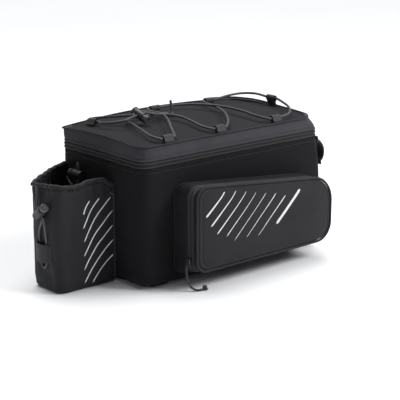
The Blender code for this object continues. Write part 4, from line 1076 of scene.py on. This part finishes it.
STRIP_CLOTH = woven_cloth("strip_cloth", (0.0095, 0.0092, 0.0108), 0.0008)
FACE_CLOTH = woven_cloth("face_cloth", (0.0208, 0.0202, 0.0233), 0.0008, source="Object",
                         ways=("X", "Z"))


def strip_of_cloth(name, start, end, folds, node):
    """A strip round the pocket: turned-in edges, a seam groove at each and a puffed middle."""
    rings = []
    steps = 16
    for step in range(steps + 1):
        share = step / steps
        depth = start + (end - start) * share
        edge = min(share, 1 - share) * (end - start)
        off = PUFF * 0.5 * math.sin(math.pi * share) ** 0.7 if 0 < share < 1 else -0.0004
        if 0.0008 < edge < 0.0026:
            off -= 0.0004
        rings.append(pocket_ring(depth, off, folds * math.sin(math.pi * share)))
    strip = skin_over(name, rings, STRIP_CLOTH, (0.66, end - start))
    give_wall(strip, STRIP_THICKNESS)
    return sew_on(strip, "fabric", node)


zip_start = INNER_STRIP + CLEAR
zip_end = zip_start + POCKET_ZIP
outer_start = zip_end + CLEAR
outer_end = POCKET_DEPTH - FACE_THICKNESS - CLEAR
inner_strip = strip_of_cloth("near_inner_strip", 0.0, INNER_STRIP, 0.0022,
                             "side_gusset_inner_near")
outer_strip = strip_of_cloth("near_outer_strip", outer_start, outer_end, 0.0004,
                             "side_gusset_outer_near")
mirrored_far(inner_strip, "far_inner_strip", "fabric", "side_gusset_inner_far")
mirrored_far(outer_strip, "far_outer_strip", "fabric", "side_gusset_outer_far")

POCKET_ZIP_STEP = (
    (-0.0016, 0.0), (0.0002, 0.0), (0.0008, 0.0008), (0.0010, 0.0020), (0.0012, 0.0034),
    (0.0010, 0.0044), (0.0000, 0.0050), (-0.0003, 0.0053), (0.0004, 0.0056), (0.0004, 0.0064),
    (-0.0003, 0.0067), (0.0000, 0.0070), (0.0010, 0.0076), (0.0012, 0.0086), (0.0010, 0.0100),
    (0.0008, 0.0112), (0.0002, 0.0120), (-0.0016, 0.0120), (-0.0016, 0.0060),
)
POCKET_TAPE = zip_cloth("pocket_tape_cloth", (0.024, 0.024, 0.026), 0.0011, 0.0112, 0.0148)
pocket_zip = skin_over("near_pocket_zip", [pocket_ring(zip_start + across, off) for off, across in
                                           POCKET_ZIP_STEP + POCKET_ZIP_STEP[:1]],
                       POCKET_TAPE, (0.66, 0.030), sharp=60)
sew_on(pocket_zip, "zip_tape", "side_zip_near")
mirrored_far(pocket_zip, "far_pocket_zip", "zip_tape", "side_zip_far")


def face_height(share):
    """How far the face stands out at a share of the way in from its edge."""
    swell = FACE_CROWN * (1 - (1 - min(share * 2.2, 1.0)) ** 2)
    return POCKET_DEPTH + swell * 0.75 + 0.0010 * min(share * 5, 1.0)


def face_rings():
    """Rings from the piped edge in to the middle of the face."""
    edge = [point for point, _ in pocket_outline(POCKET_DEPTH)]
    middle = Vector((sum(p.x for p in edge), sum(p.y for p in edge))) / len(edge)
    rings = []
    scales = [1.0, 0.992, 0.984, 0.976, 0.968, 0.958, 0.945, 0.925, 0.90, 0.86, 0.81, 0.75, 0.68,
              0.60, 0.51, 0.42, 0.33, 0.24, 0.15, 0.07, 0.0]
    sink = {1.0: 0.0012, 0.992: 0.0004, 0.968: 0.0003, 0.958: 0.0008, 0.945: 0.0003}
    for scale in scales:
        ring = []
        for point in edge:
            spot = middle + (point - middle) * scale
            out = face_height(1 - scale) - sink.get(scale, 0.0)
            slack = min((1 - scale) * 5, 1.0)
            out += crumple(Vector((spot.x, 0.3, spot.y)), 0.070, 0.0010) * slack
            ring.append(Vector((spot.x, -(HALF_WIDTH + CLEAR + out), spot.y)))
        rings.append(ring)
    return rings, middle


face_shape, face_middle = face_rings()
near_face = skin_over("near_pocket_face", face_shape, FACE_CLOTH, (0.66, 0.08))
give_wall(near_face, FACE_THICKNESS)
sew_on(near_face, "fabric", "side_face_near")
mirrored_far(near_face, "far_pocket_face", "fabric", "side_face_far")
piping_path = pocket_ring(POCKET_DEPTH - FACE_THICKNESS * 0.35, 0.0019, count=300)
near_piping = round_cord("near_pocket_piping", piping_path, 0.0018, PIPING_CLOTH, 10, closed=True)
sew_on(near_piping, "piping", "side_piping_near")
mirrored_far(near_piping, "far_pocket_piping", "piping", "side_piping_far")

face_line = []
for spot in face_shape[5]:
    face_line.append(spot + Vector((0, -0.00015, 0)))
near_stitches = stitch_row("near_face_stitches", face_line, [Vector((0, -1, 0))] * len(face_line))
mirrored_far(near_stitches, "far_face_stitches", "fabric")
for row, depth in enumerate((0.0018, INNER_STRIP - 0.0018, outer_start + 0.0015)):
    line = pocket_ring(depth, 0.0002, count=220)
    outs = [Vector((out.x, 0.0, out.y)) for _, out in pocket_outline(depth)]
    seam = stitch_row(f"near_strip_stitches_{row}", line, outs)
    mirrored_far(seam, f"far_strip_stitches_{row}", "fabric")


def reflective_print(name="reflective_print"):
    """Silver-grey reflective ink: fine glass beads in a pale binder."""
    material, tree, shader = start_finish(name, 0.45, 0.6)
    seat = add_node(tree, "ShaderNodeTexCoord").outputs["Object"]
    beads = add_node(tree, "ShaderNodeTexVoronoi", {"Vector": seat}, scale=2400.0)
    ramp = add_node(tree, "ShaderNodeValToRGB", {"Fac": beads.outputs[0]})
    ramp.color_ramp.elements[0].color = (0.86, 0.87, 0.88, 1.0)
    ramp.color_ramp.elements[1].color = (0.56, 0.57, 0.58, 1.0)
    tree.links.new(ramp.outputs["Color"], shader.inputs["Base Color"])
    rise = add_node(tree, "ShaderNodeBump", {"Height": beads.outputs[0]}, strength=0.3,
                    distance=0.0001)
    tree.links.new(rise.outputs[0], shader.inputs["Normal"])
    return material


PRINT = reflective_print()
INK_THICKNESS = 0.00016
INK_LIFT = 0.00012


def printed_bar(name, path, outs, widths):
    """A printed bar: a thin ribbon that lies on the cloth, rounded at its ends."""
    rings = []
    count = len(path)
    for i, here in enumerate(path):
        along = (path[min(i + 1, count - 1)] - path[max(i - 1, 0)]).normalized()
        side = along.cross(outs[i]).normalized()
        wide = widths[i] / 2
        rings.append([here - side * wide, here - side * wide * 0.5, here,
                      here + side * wide * 0.5, here + side * wide])
    bar = skin_over(name, rings, PRINT, (0.004, 0.05), closed=False, sharp=80)
    give_wall(bar, INK_THICKNESS, 1.0)
    return sew_on(bar, "fabric")


def face_surface(x, z):
    """The face's height over the wall under a point, found on its rings."""
    edge = [point for point, _ in pocket_outline(POCKET_DEPTH)]
    spot = Vector((x, z))
    best = 0.0
    way = spot - face_middle
    for here, there in zip(edge, edge[1:] + edge[:1]):
        one, two = here - face_middle, there - face_middle
        cross = one.x * two.y - one.y * two.x
        if abs(cross) < 1e-12:
            continue
        a = (way.x * two.y - way.y * two.x) / cross
        b = (one.x * way.y - one.y * way.x) / cross
        if a >= -1e-6 and b >= -1e-6:
            best = a + b
            break
    out = face_height(1 - best)
    slack = min((1 - best) * 5, 1.0)
    return out + crumple(Vector((x, 0.3, z)), 0.070, 0.0010) * slack


def face_bar(name, start, end, wide_start, wide_end, steps=26):
    """A bar printed on the near face between two points, as length and height, and its mirror."""
    start, end = Vector(start), Vector(end)
    path = []
    widths = []
    for step in range(steps + 1):
        share = step / steps
        spot = start.lerp(end, share)
        path.append(Vector((spot.x, -(HALF_WIDTH + CLEAR + face_surface(spot.x, spot.y) + INK_LIFT),
                            spot.y)))
        cap = math.sqrt(max(1 - (max(0.0, 1 - min(share, 1 - share) * steps / 1.5)) ** 2, 0.0))
        widths.append((wide_start + (wide_end - wide_start) * share) * max(cap, 0.12))
    bar = printed_bar(name, path, [Vector((0, -1, 0))] * len(path), widths)
    mirrored_far(bar, name.replace("near", "far"), "fabric")


# bars as start and end, each a length and a height, and the width at each end
BARS = (
    ((-0.092, 0.101), (-0.060, 0.131), 0.0030, 0.0016),
    ((-0.084, 0.087), (-0.040, 0.129), 0.0026, 0.0010),
    ((-0.074, 0.075), (-0.022, 0.125), 0.0020, 0.0008),
    ((-0.058, 0.069), (-0.004, 0.121), 0.0014, 0.0006),
    ((-0.044, 0.061), (0.014, 0.117), 0.0008, 0.0008),
    ((-0.022, 0.061), (0.032, 0.113), 0.0007, 0.0012),
    ((0.000, 0.059), (0.050, 0.107), 0.0007, 0.0016),
    ((0.034, 0.069), (0.078, 0.111), 0.0042, 0.0042),
)
for number, (start, end, wide_start, wide_end) in enumerate(BARS, 1):
    face_bar(f"near_face_bar_{number}", start, end, wide_start, wide_end)

for name in ("near", "far"):
    zip_slider(f"{name}_pocket_slider", f"side_slider_{name}", (0, 0, 1), (-1, 0, 0))

PULL_CORD = braided_cord("pull_cord_braid", (0.030, 0.030, 0.033), 0.0020)
PULLER = 0.0015
SLIDER_HALF = 0.0014
for side, name in ((-1, "near"), (1, "far")):
    low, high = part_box(f"side_slider_{name}")
    hang = (Vector(low) + Vector(high)) / 2 - Vector((SLIDER_HALF + CLEAR + PULLER, 0, 0))
    drop = hang.z - (FLOOR_HEIGHT + PULLER)
    pull_path = smooth_path([
        hang + Vector((0, 0, -0.00275)), hang + Vector((-0.0015, side * 0.001, -drop * 0.35)),
        hang + Vector((-0.0005, side * 0.004, -drop * 0.7)),
        hang + Vector((0.004, side * 0.008, -drop * 0.93)),
        hang + Vector((0.011, side * 0.012, -drop)),
        hang + Vector((0.020, side * 0.014, PULLER - drop))], 70)
    pull_knot = sew_on(overhand_knot(f"{name}_pull_knot", pull_path[-1] + Vector((0, 0, 0.0006)),
                                     PULLER, PULL_CORD), "cord")
    puller = sew_on(round_cord(f"{name}_pull_cord", pull_path, PULLER, PULL_CORD, 12), "cord",
                    f"side_puller_{name}")

# Rear pocket.
# An open bottle pocket of unlined pack cloth, sewn to the rear wall down both seams. Its mouth is a
# rolled hem that carries a drawcord, and reflective stripes are printed on its near wall.
BOTTLE_DEPTH = 0.092
BOTTLE_NEAR = 0.028
BOTTLE_REAR_FAR = 0.029
BOTTLE_FAR = 0.083
BOTTLE_HEIGHT = 0.142
BOTTLE_FLOOR = 0.0012
BOTTLE_WALL = 0.0018
BOTTLE_ROUND = 0.012
HEM = 0.0030
REAR_WALL = -HALF_LENGTH
BOTTLE_REAR = REAR_WALL - BOTTLE_DEPTH


def bottle_outline(spacing=0.0022):
    """The pocket's walls from above, from the far seam round to the near one, with directions out."""
    seam = REAR_WALL - CLEAR
    corners = [Vector((seam - 0.0012, BOTTLE_FAR)), Vector((BOTTLE_REAR, BOTTLE_REAR_FAR)),
               Vector((BOTTLE_REAR, -BOTTLE_NEAR)), Vector((seam, -BOTTLE_NEAR))]
    rough = [corners[0]]
    for before, corner, after in zip(corners, corners[1:], corners[2:]):
        back, onward = (before - corner).normalized(), (after - corner).normalized()
        half = back.angle(onward) / 2
        reach = BOTTLE_ROUND / math.tan(half)
        centre = corner + (back + onward).normalized() * (BOTTLE_ROUND / math.sin(half))
        first, last = corner + back * reach - centre, corner + onward * reach - centre
        turn = -first.angle_signed(last)
        rough += [centre + Matrix.Rotation(turn * step / 12, 2) @ first for step in range(13)]
    rough.append(corners[-1])
    walk = []
    for here, there in zip(rough, rough[1:]):
        steps = max(int((there - here).length / spacing), 1)
        walk += [here.lerp(there, step / steps) for step in range(steps)]
    walk.append(rough[-1])
    pairs = []
    for i, here in enumerate(walk):
        way = (walk[min(i + 1, len(walk) - 1)] - walk[max(i - 1, 0)]).normalized()
        pairs.append((here, Vector((way.y, -way.x))))
    return pairs


# the mouth's height at shares of the way back, along the near wall and along the far one
NEAR_MOUTH = ((0.0, 0.132), (0.08, 0.136), (0.2, 0.1435), (0.42, 0.1445), (0.7, 0.1405),
              (0.9, 0.1430), (1.0, 0.145))
FAR_MOUTH = ((0.0, 0.1430), (0.15, 0.1430), (0.4, 0.1440), (0.75, 0.1420), (1.0, 0.1385))


def mouth_height(point):
    """The mouth's height: low at the near seam, with a soft wave along the walls."""
    share = min(max((REAR_WALL - point.x) / BOTTLE_DEPTH, 0.0), 1.0)
    heights = []
    for stops in (NEAR_MOUTH, FAR_MOUTH):
        for (low, start), (high, end) in zip(stops, stops[1:]):
            if share <= high:
                mix = (share - low) / (high - low)
                mix = mix * mix * (3 - 2 * mix)
                heights.append(start + (end - start) * mix)
                break
    far = min(max((point.y + BOTTLE_NEAR) / (BOTTLE_REAR_FAR + BOTTLE_NEAR), 0.0), 1.0)
    return heights[0] + (heights[1] - heights[0]) * far


bottle_walk = bottle_outline()
bottle_middle = Vector((REAR_WALL - CLEAR, (BOTTLE_FAR - BOTTLE_NEAR) / 2))


def bottle_point(point, out, level, along):
    """A point of the pocket's wall at a level from 0 to 1, with the cloth's sag and creases."""
    top = mouth_height(point)
    height = BOTTLE_FLOOR + (top - BOTTLE_FLOOR) * level
    free = min(max((REAR_WALL - point.x) / 0.02, 0.0), 1.0)
    place = Vector((point.x, point.y, height))
    sag = 0.0016 * math.sin(math.pi * level) * free
    depth = 0.0022 + 0.0010 * math.sin(math.pi * level)
    soft = crumple(Vector((place.x, place.y, place.z * 0.55)), 0.040, depth) * free
    soft *= 1 - 0.6 * max(level - 0.9, 0) * 10
    pleat = math.sin(along * 420.0 + 3.0 * noise.noise(place * 60))
    gather = 0.0011 * pleat * max(level - 0.80, 0) * 5
    cling = min(level * 8, 1.0)
    spot = point + out * ((sag + soft) * cling + gather * free)
    if level == 0.0:
        spot = spot + (bottle_middle - spot).normalized() * 0.0030
    spot.x = min(spot.x, REAR_WALL - CLEAR)
    return Vector((spot.x, spot.y, height))


def bottle_rings():
    """Rings from the middle of the pocket's floor out to its walls and up to the mouth."""
    rings = []
    foot = [bottle_point(point, out, 0.0, 0.0) for point, out in bottle_walk]
    centre = Vector((*bottle_middle, BOTTLE_FLOOR))
    for share in (0.0, 0.25, 0.5, 0.75, 0.93):
        rings.append([centre + (spot - centre) * share for spot in foot])
    for step in range(45):
        level = step / 44
        ring = []
        along = 0.0
        for i, (point, out) in enumerate(bottle_walk):
            along += (point - bottle_walk[i - 1][0]).length if i else 0.0
            ring.append(bottle_point(point, out, level, along))
        rings.append(ring)
    return rings


BOTTLE_CLOTH = woven_cloth("bottle_cloth", (0.0132, 0.0128, 0.0151), 0.0008, rough=0.62,
                           specular=0.22)
bottle_pocket = skin_over("bottle_pocket", bottle_rings(), BOTTLE_CLOTH, (0.29, 0.19), closed=False)
give_wall(bottle_pocket, BOTTLE_WALL)
sew_on(bottle_pocket, "fabric", "rear_pocket")
hem_path = []
along = 0.0
for i, (point, out) in enumerate(bottle_walk):
    along += (point - bottle_walk[i - 1][0]).length if i else 0.0
    hem_path.append(bottle_point(point, out, 1.0, along) + Vector((0, 0, HEM * 0.75)))
for end, beside in ((0, 1), (-1, -2)):
    hem_path[end] = hem_path[end] + (hem_path[beside] - hem_path[end]).normalized() * HEM * 0.4


def gathered(share, length):
    """The hem's fullness where the drawcord bunches it."""
    return 1.0 + 0.16 * math.sin(length * 520) * noise.noise(Vector((length * 50, 0, 4)))


sew_on(round_cord("mouth_hem", hem_path, HEM, BOTTLE_CLOTH, 14, swell=gathered), "fabric",
       "rear_hem")
under_hem = []
under_out = []
length = 0.0
for i, (point, out) in enumerate(bottle_walk[2:-2], 2):
    length += (point - bottle_walk[i - 1][0]).length
    under_hem.append(bottle_point(point, out, 0.955, length) + Vector((*out, 0)) * 0.0003)
    under_out.append(Vector((*out, 0)))
stitch_row("mouth_stitches", under_hem, under_out, closed=False)

# stripes on the near wall, each from its upper end to its lower one, as length and height
STRIPES = (
    ((-0.2010, 0.1208), (-0.2113, 0.1039)),
    ((-0.1844, 0.1220), (-0.2118, 0.0845)),
    ((-0.1660, 0.1202), (-0.2108, 0.0661)),
    ((-0.1629, 0.1013), (-0.2113, 0.0464)),
    ((-0.1634, 0.0808), (-0.2119, 0.0273)),
    ((-0.1630, 0.0607), (-0.2116, 0.0090)),
    ((-0.1634, 0.0399), (-0.1983, 0.0070)),
)
STRIPE_WIDTH = 0.0017
STRIPE_BOW = 0.07


def near_wall_spot(x, z):
    """The point of the pocket's near wall at a length and height."""
    point = Vector((x, -BOTTLE_NEAR))
    top = mouth_height(point)
    level = (z - BOTTLE_FLOOR) / (top - BOTTLE_FLOOR)
    return bottle_point(point, Vector((0, -1)), level, 0.0) + Vector((0, -0.0003, 0))


for number, (start, end) in enumerate(STRIPES, 1):
    start, end = Vector(start), Vector(end)
    normal = Vector(((end - start).y, -(end - start).x)).normalized()
    path = []
    widths = []
    for step in range(23):
        share = step / 22
        bow = (end - start).length * STRIPE_BOW * math.sin(math.pi * share)
        spot = start.lerp(end, share) + normal * bow
        path.append(near_wall_spot(spot.x, spot.y))
        cap = min(min(share, 1 - share) * 16 + 0.25, 1.0)
        widths.append(STRIPE_WIDTH * cap)
    printed_bar(f"pocket_stripe_{number}", path, [Vector((0, -1, 0))] * len(path), widths)

# the near end of the mouth's drawcord comes out by the seam and is knotted off
cord_end = Vector((REAR_WALL - 0.0062, -BOTTLE_NEAR - 0.0026, 0.1262))
sew_on(overhand_knot("mouth_cord_knot", cord_end, 0.0013, PULL_CORD), "cord")
# the seams' bindings: how far off the wall, where across, their tops and radii
BINDINGS = (
    ("near", 0.0016, -BOTTLE_NEAR - 0.0012, 0.132, 0.0015),
    ("far", 0.0006, BOTTLE_FAR + 0.0008, 0.1425, 0.0019),
)
BINDING_FOOT = 0.006
for side, off, across, top, radius in BINDINGS:
    seam_path = [Vector((REAR_WALL - off, across, BINDING_FOOT + (top - BINDING_FOOT) * step / 40))
                 for step in range(41)]
    sew_on(round_cord(f"{side}_seam_binding", seam_path, radius, PIPING_CLOTH, 10), "piping")

# Drawcords and the clip band.
# Thin braided cord runs in the hem. Both ends come out at the rear through a lock and hang in a loop
# behind a band of webbing. A second lock draws the mouth in along the bag's wall.
DRAWCORD = 0.0014
# the drawcord's strands carry a stronger painted highlight
DRAW_BRAID = braided_cord("drawcord_braid", (0.060, 0.060, 0.065), 0.0020, painted_glint=0.02)
REAR_LOCK = Vector((BOTTLE_REAR - LOCK_RADIUS - 3 * CLEAR, 0.002, 0.108))
REAR_LOCK_WAY = Vector((0, -0.78, 0.63)).normalized()
REAR_LOCK_CORD = Vector((0, -REAR_LOCK_WAY.z, REAR_LOCK_WAY.y)).normalized()
INNER_LOCK = Vector((REAR_WALL - LOCK_RADIUS - 3 * CLEAR, 0.044, 0.137))
INNER_LOCK_WAY = Vector((0, 1, 0))
INNER_LOCK_CORD = Vector((0, 0, 1))


def lock_pass(lock, axis, passing, shift, way):
    """Points straight through a lock."""
    return [lock + passing * (station * way) + axis * shift
            for station in (-0.011, -LOCK_RADIUS - CLEAR, LOCK_RADIUS + CLEAR, 0.011)]


clear_wall = BOTTLE_REAR - DRAWCORD - 2 * CLEAR
hem_face = BOTTLE_REAR - HEM - DRAWCORD - CLEAR
hem_height = mouth_height(Vector((BOTTLE_REAR, 0.015))) + HEM * 0.9
rear_lock = (REAR_LOCK, REAR_LOCK_WAY, REAR_LOCK_CORD)
draw_path = smooth_path([
    Vector((hem_face, 0.019, hem_height - 0.001)), Vector((hem_face, 0.019, hem_height - 0.009)),
    *lock_pass(*rear_lock, -LOCK_SHIFT, 1),
    Vector((clear_wall - 0.003, 0.005, 0.088)), Vector((clear_wall - 0.002, 0.0095, 0.076)),
    Vector((clear_wall, 0.010, 0.064)), Vector((clear_wall, 0.010, 0.048)),
    Vector((clear_wall, 0.009, 0.038)), Vector((clear_wall, 0.003, 0.032)),
    Vector((clear_wall, -0.003, 0.037)), Vector((clear_wall, -0.0035, 0.048)),
    Vector((clear_wall, -0.0045, 0.064)), Vector((clear_wall - 0.003, -0.007, 0.080)),
    *lock_pass(*rear_lock, LOCK_SHIFT, -1),
    Vector((hem_face, 0.011, hem_height - 0.009)), Vector((hem_face, 0.011, hem_height - 0.001))], 200)
rear_draw = sew_on(round_cord("rear_draw_loop", draw_path, DRAWCORD, DRAW_BRAID, 12), "cord",
                   "rear_drawcord")
cord_lock("rear_cord_lock", "rear_lock", *rear_lock, DRAWCORD, "rear_button")

inner_lock = (INNER_LOCK, INNER_LOCK_WAY, INNER_LOCK_CORD)
inner_x = INNER_LOCK.x
near_end = 0.004 - BOTTLE_NEAR
seam_height = BOTTLE_HEIGHT - 0.009
inner_path = smooth_path([
    Vector((inner_x, near_end, seam_height - 0.004)),
    Vector((inner_x, near_end + 0.014, seam_height - 0.012)),
    Vector((inner_x, near_end + 0.034, seam_height - 0.016)),
    Vector((inner_x, near_end + 0.054, seam_height - 0.015)),
    *lock_pass(*inner_lock, -LOCK_SHIFT, 1), INNER_LOCK + Vector((0, 0, 0.016)),
    *lock_pass(*inner_lock, LOCK_SHIFT, -1),
    Vector((inner_x, 0.055, seam_height - 0.014)), Vector((inner_x, 0.065, seam_height - 0.010)),
    Vector((inner_x, BOTTLE_FAR - 0.012, seam_height - 0.004))], 160)
inner_draw = sew_on(round_cord("inner_draw_run", inner_path, DRAWCORD, DRAW_BRAID, 12), "cord",
                    "inner_drawcord")
cord_lock("inner_cord_lock", "inner_lock", *inner_lock, DRAWCORD, "inner_button")

BAND_TOP = 0.066
BAND_HEIGHT = 0.025
BAND_PLY = 0.0014
BAND_PROUD = 0.0075
band_left = BOTTLE_REAR_FAR - 0.003 - BOTTLE_ROUND / 3
band_right = 0.003 - BOTTLE_NEAR + BOTTLE_ROUND
band_flat = 0.003 + BAND_PLY
band_foot = BOTTLE_REAR - CLEAR - BAND_PLY / 2
FLAT_WEBBING = webbing_cloth("band_webbing", (0.030, 0.030, 0.033))


def webbing_run(name, path, across, width, thickness, node, length):
    """Flat webbing along a path, with softly rounded selvedges."""
    half = Vector(across).normalized() * width / 2
    rings = []
    for here in path:
        rings.append([here + half * share for share in (-1.0, -0.95, -0.5, 0.0, 0.5, 0.95, 1.0)])
    run = skin_over(name, rings, FLAT_WEBBING, (width, length), closed=False, sharp=60)
    give_wall(run, thickness, 0.0)
    edge = run.modifiers.new("edge", "BEVEL")
    edge.width = thickness * 0.3
    edge.segments = 2
    return sew_on(run, "webbing", node)


band_path = []
for step in range(41):
    share = step / 40
    y = band_right + (band_left - band_right) * share
    free = (y - band_right - band_flat) / (band_left - band_right - 2 * band_flat)
    bow = math.sin(math.pi * free) ** 0.6 if 0 < free < 1 else 0.0
    band_path.append(Vector((band_foot - BAND_PROUD * bow, y, BAND_TOP - BAND_HEIGHT / 2)))
webbing_run("light_clip_band", band_path, (0, 0, 1), BAND_HEIGHT, BAND_PLY, "light_band", 0.056)
for number, y in enumerate((band_right + 0.0018, band_left - 0.0018), 1):
    seam = [Vector((band_foot - BAND_PLY / 2 - 0.0001, y, z)) for z in
            (BAND_TOP - BAND_HEIGHT + 0.002, BAND_TOP - 0.002)]
    stitch_row(f"light_band_stitches_{number}", seam, [Vector((-1, 0, 0))] * 2, slot_name="webbing",
               closed=False)

# Front loop.
# An upright handle-like loop of doubled webbing on the front wall, sewn down at both ends.
LOOP_SIDE = HALF_WIDTH - 0.014
LOOP_TOP = 0.165
LOOP_TALL = 0.043
LOOP_FOOT = 0.006
LOOP_PROUD = 0.0085
LOOP_PLY = 0.0022
loop_path = []
for step in range(49):
    share = step / 48
    height = LOOP_TOP - LOOP_TALL * share
    free = (LOOP_TOP - LOOP_FOOT - height) / (LOOP_TALL - 2 * LOOP_FOOT)
    bow = math.sin(math.pi * free) ** 0.6 if 0 < free < 1 else 0.0
    loop_path.append(Vector((front_reach(height) + CLEAR * 2 + LOOP_PLY / 2 + LOOP_PROUD * bow,
                             -LOOP_SIDE, height)))
webbing_run("front_webbing_loop", loop_path, (0, 1, 0), 0.025, LOOP_PLY, "front_loop", 0.058)
for number, height in enumerate((LOOP_TOP - 0.0015, LOOP_TOP - 0.0045, LOOP_TOP - LOOP_TALL + 0.0045,
                                 LOOP_TOP - LOOP_TALL + 0.0015), 1):
    x = front_reach(height) + CLEAR * 2 + LOOP_PLY + 0.0001
    seam = [Vector((x, -LOOP_SIDE + side, height)) for side in (-0.0115, 0.0115)]
    stitch_row(f"front_loop_stitches_{number}", seam, [Vector((1, 0, 0))] * 2, slot_name="webbing",
               closed=False)

# Straps under the base.
# Six hook-and-loop straps that hold the bag down in use, folded once and lying flat in the
# recess beside the base's pad.
STRAP_RECESS = 0.0036
STRAP_WIDTH = 0.025
STRAP_PLACES = (-0.125, -0.028, 0.075)
STRAP_PLY = 0.0013
STRAP_GAP = 0.0005
STRAP_OUT = 0.081
STRAP_LONG = 0.044
upper = STRAP_RECESS - CLEAR - STRAP_PLY / 2
lower = upper - STRAP_PLY - STRAP_GAP
fold = (upper - lower) / 2
fold_height = (upper + lower) / 2
for side, name in ((-1, "near"), (1, "far")):
    for number, place in enumerate(STRAP_PLACES, 1):
        outer, inner = STRAP_OUT - fold, STRAP_OUT - STRAP_LONG
        route = [(inner, upper), ((inner + outer) / 2, upper), (outer, upper)]
        for step in range(1, 12):
            angle = math.radians(90 - 15 * step)
            route.append((outer + fold * math.cos(angle), fold_height + fold * math.sin(angle)))
        route += [(outer, lower), ((inner + outer) / 2, lower), (inner, lower)]
        path = [Vector((place, side * y, z)) for y, z in route]
        webbing_run(f"{name}_rack_strap_{number}", path, (1, 0, 0), STRAP_WIDTH, STRAP_PLY,
                    f"rack_strap_{name}_{number}", 0.09)
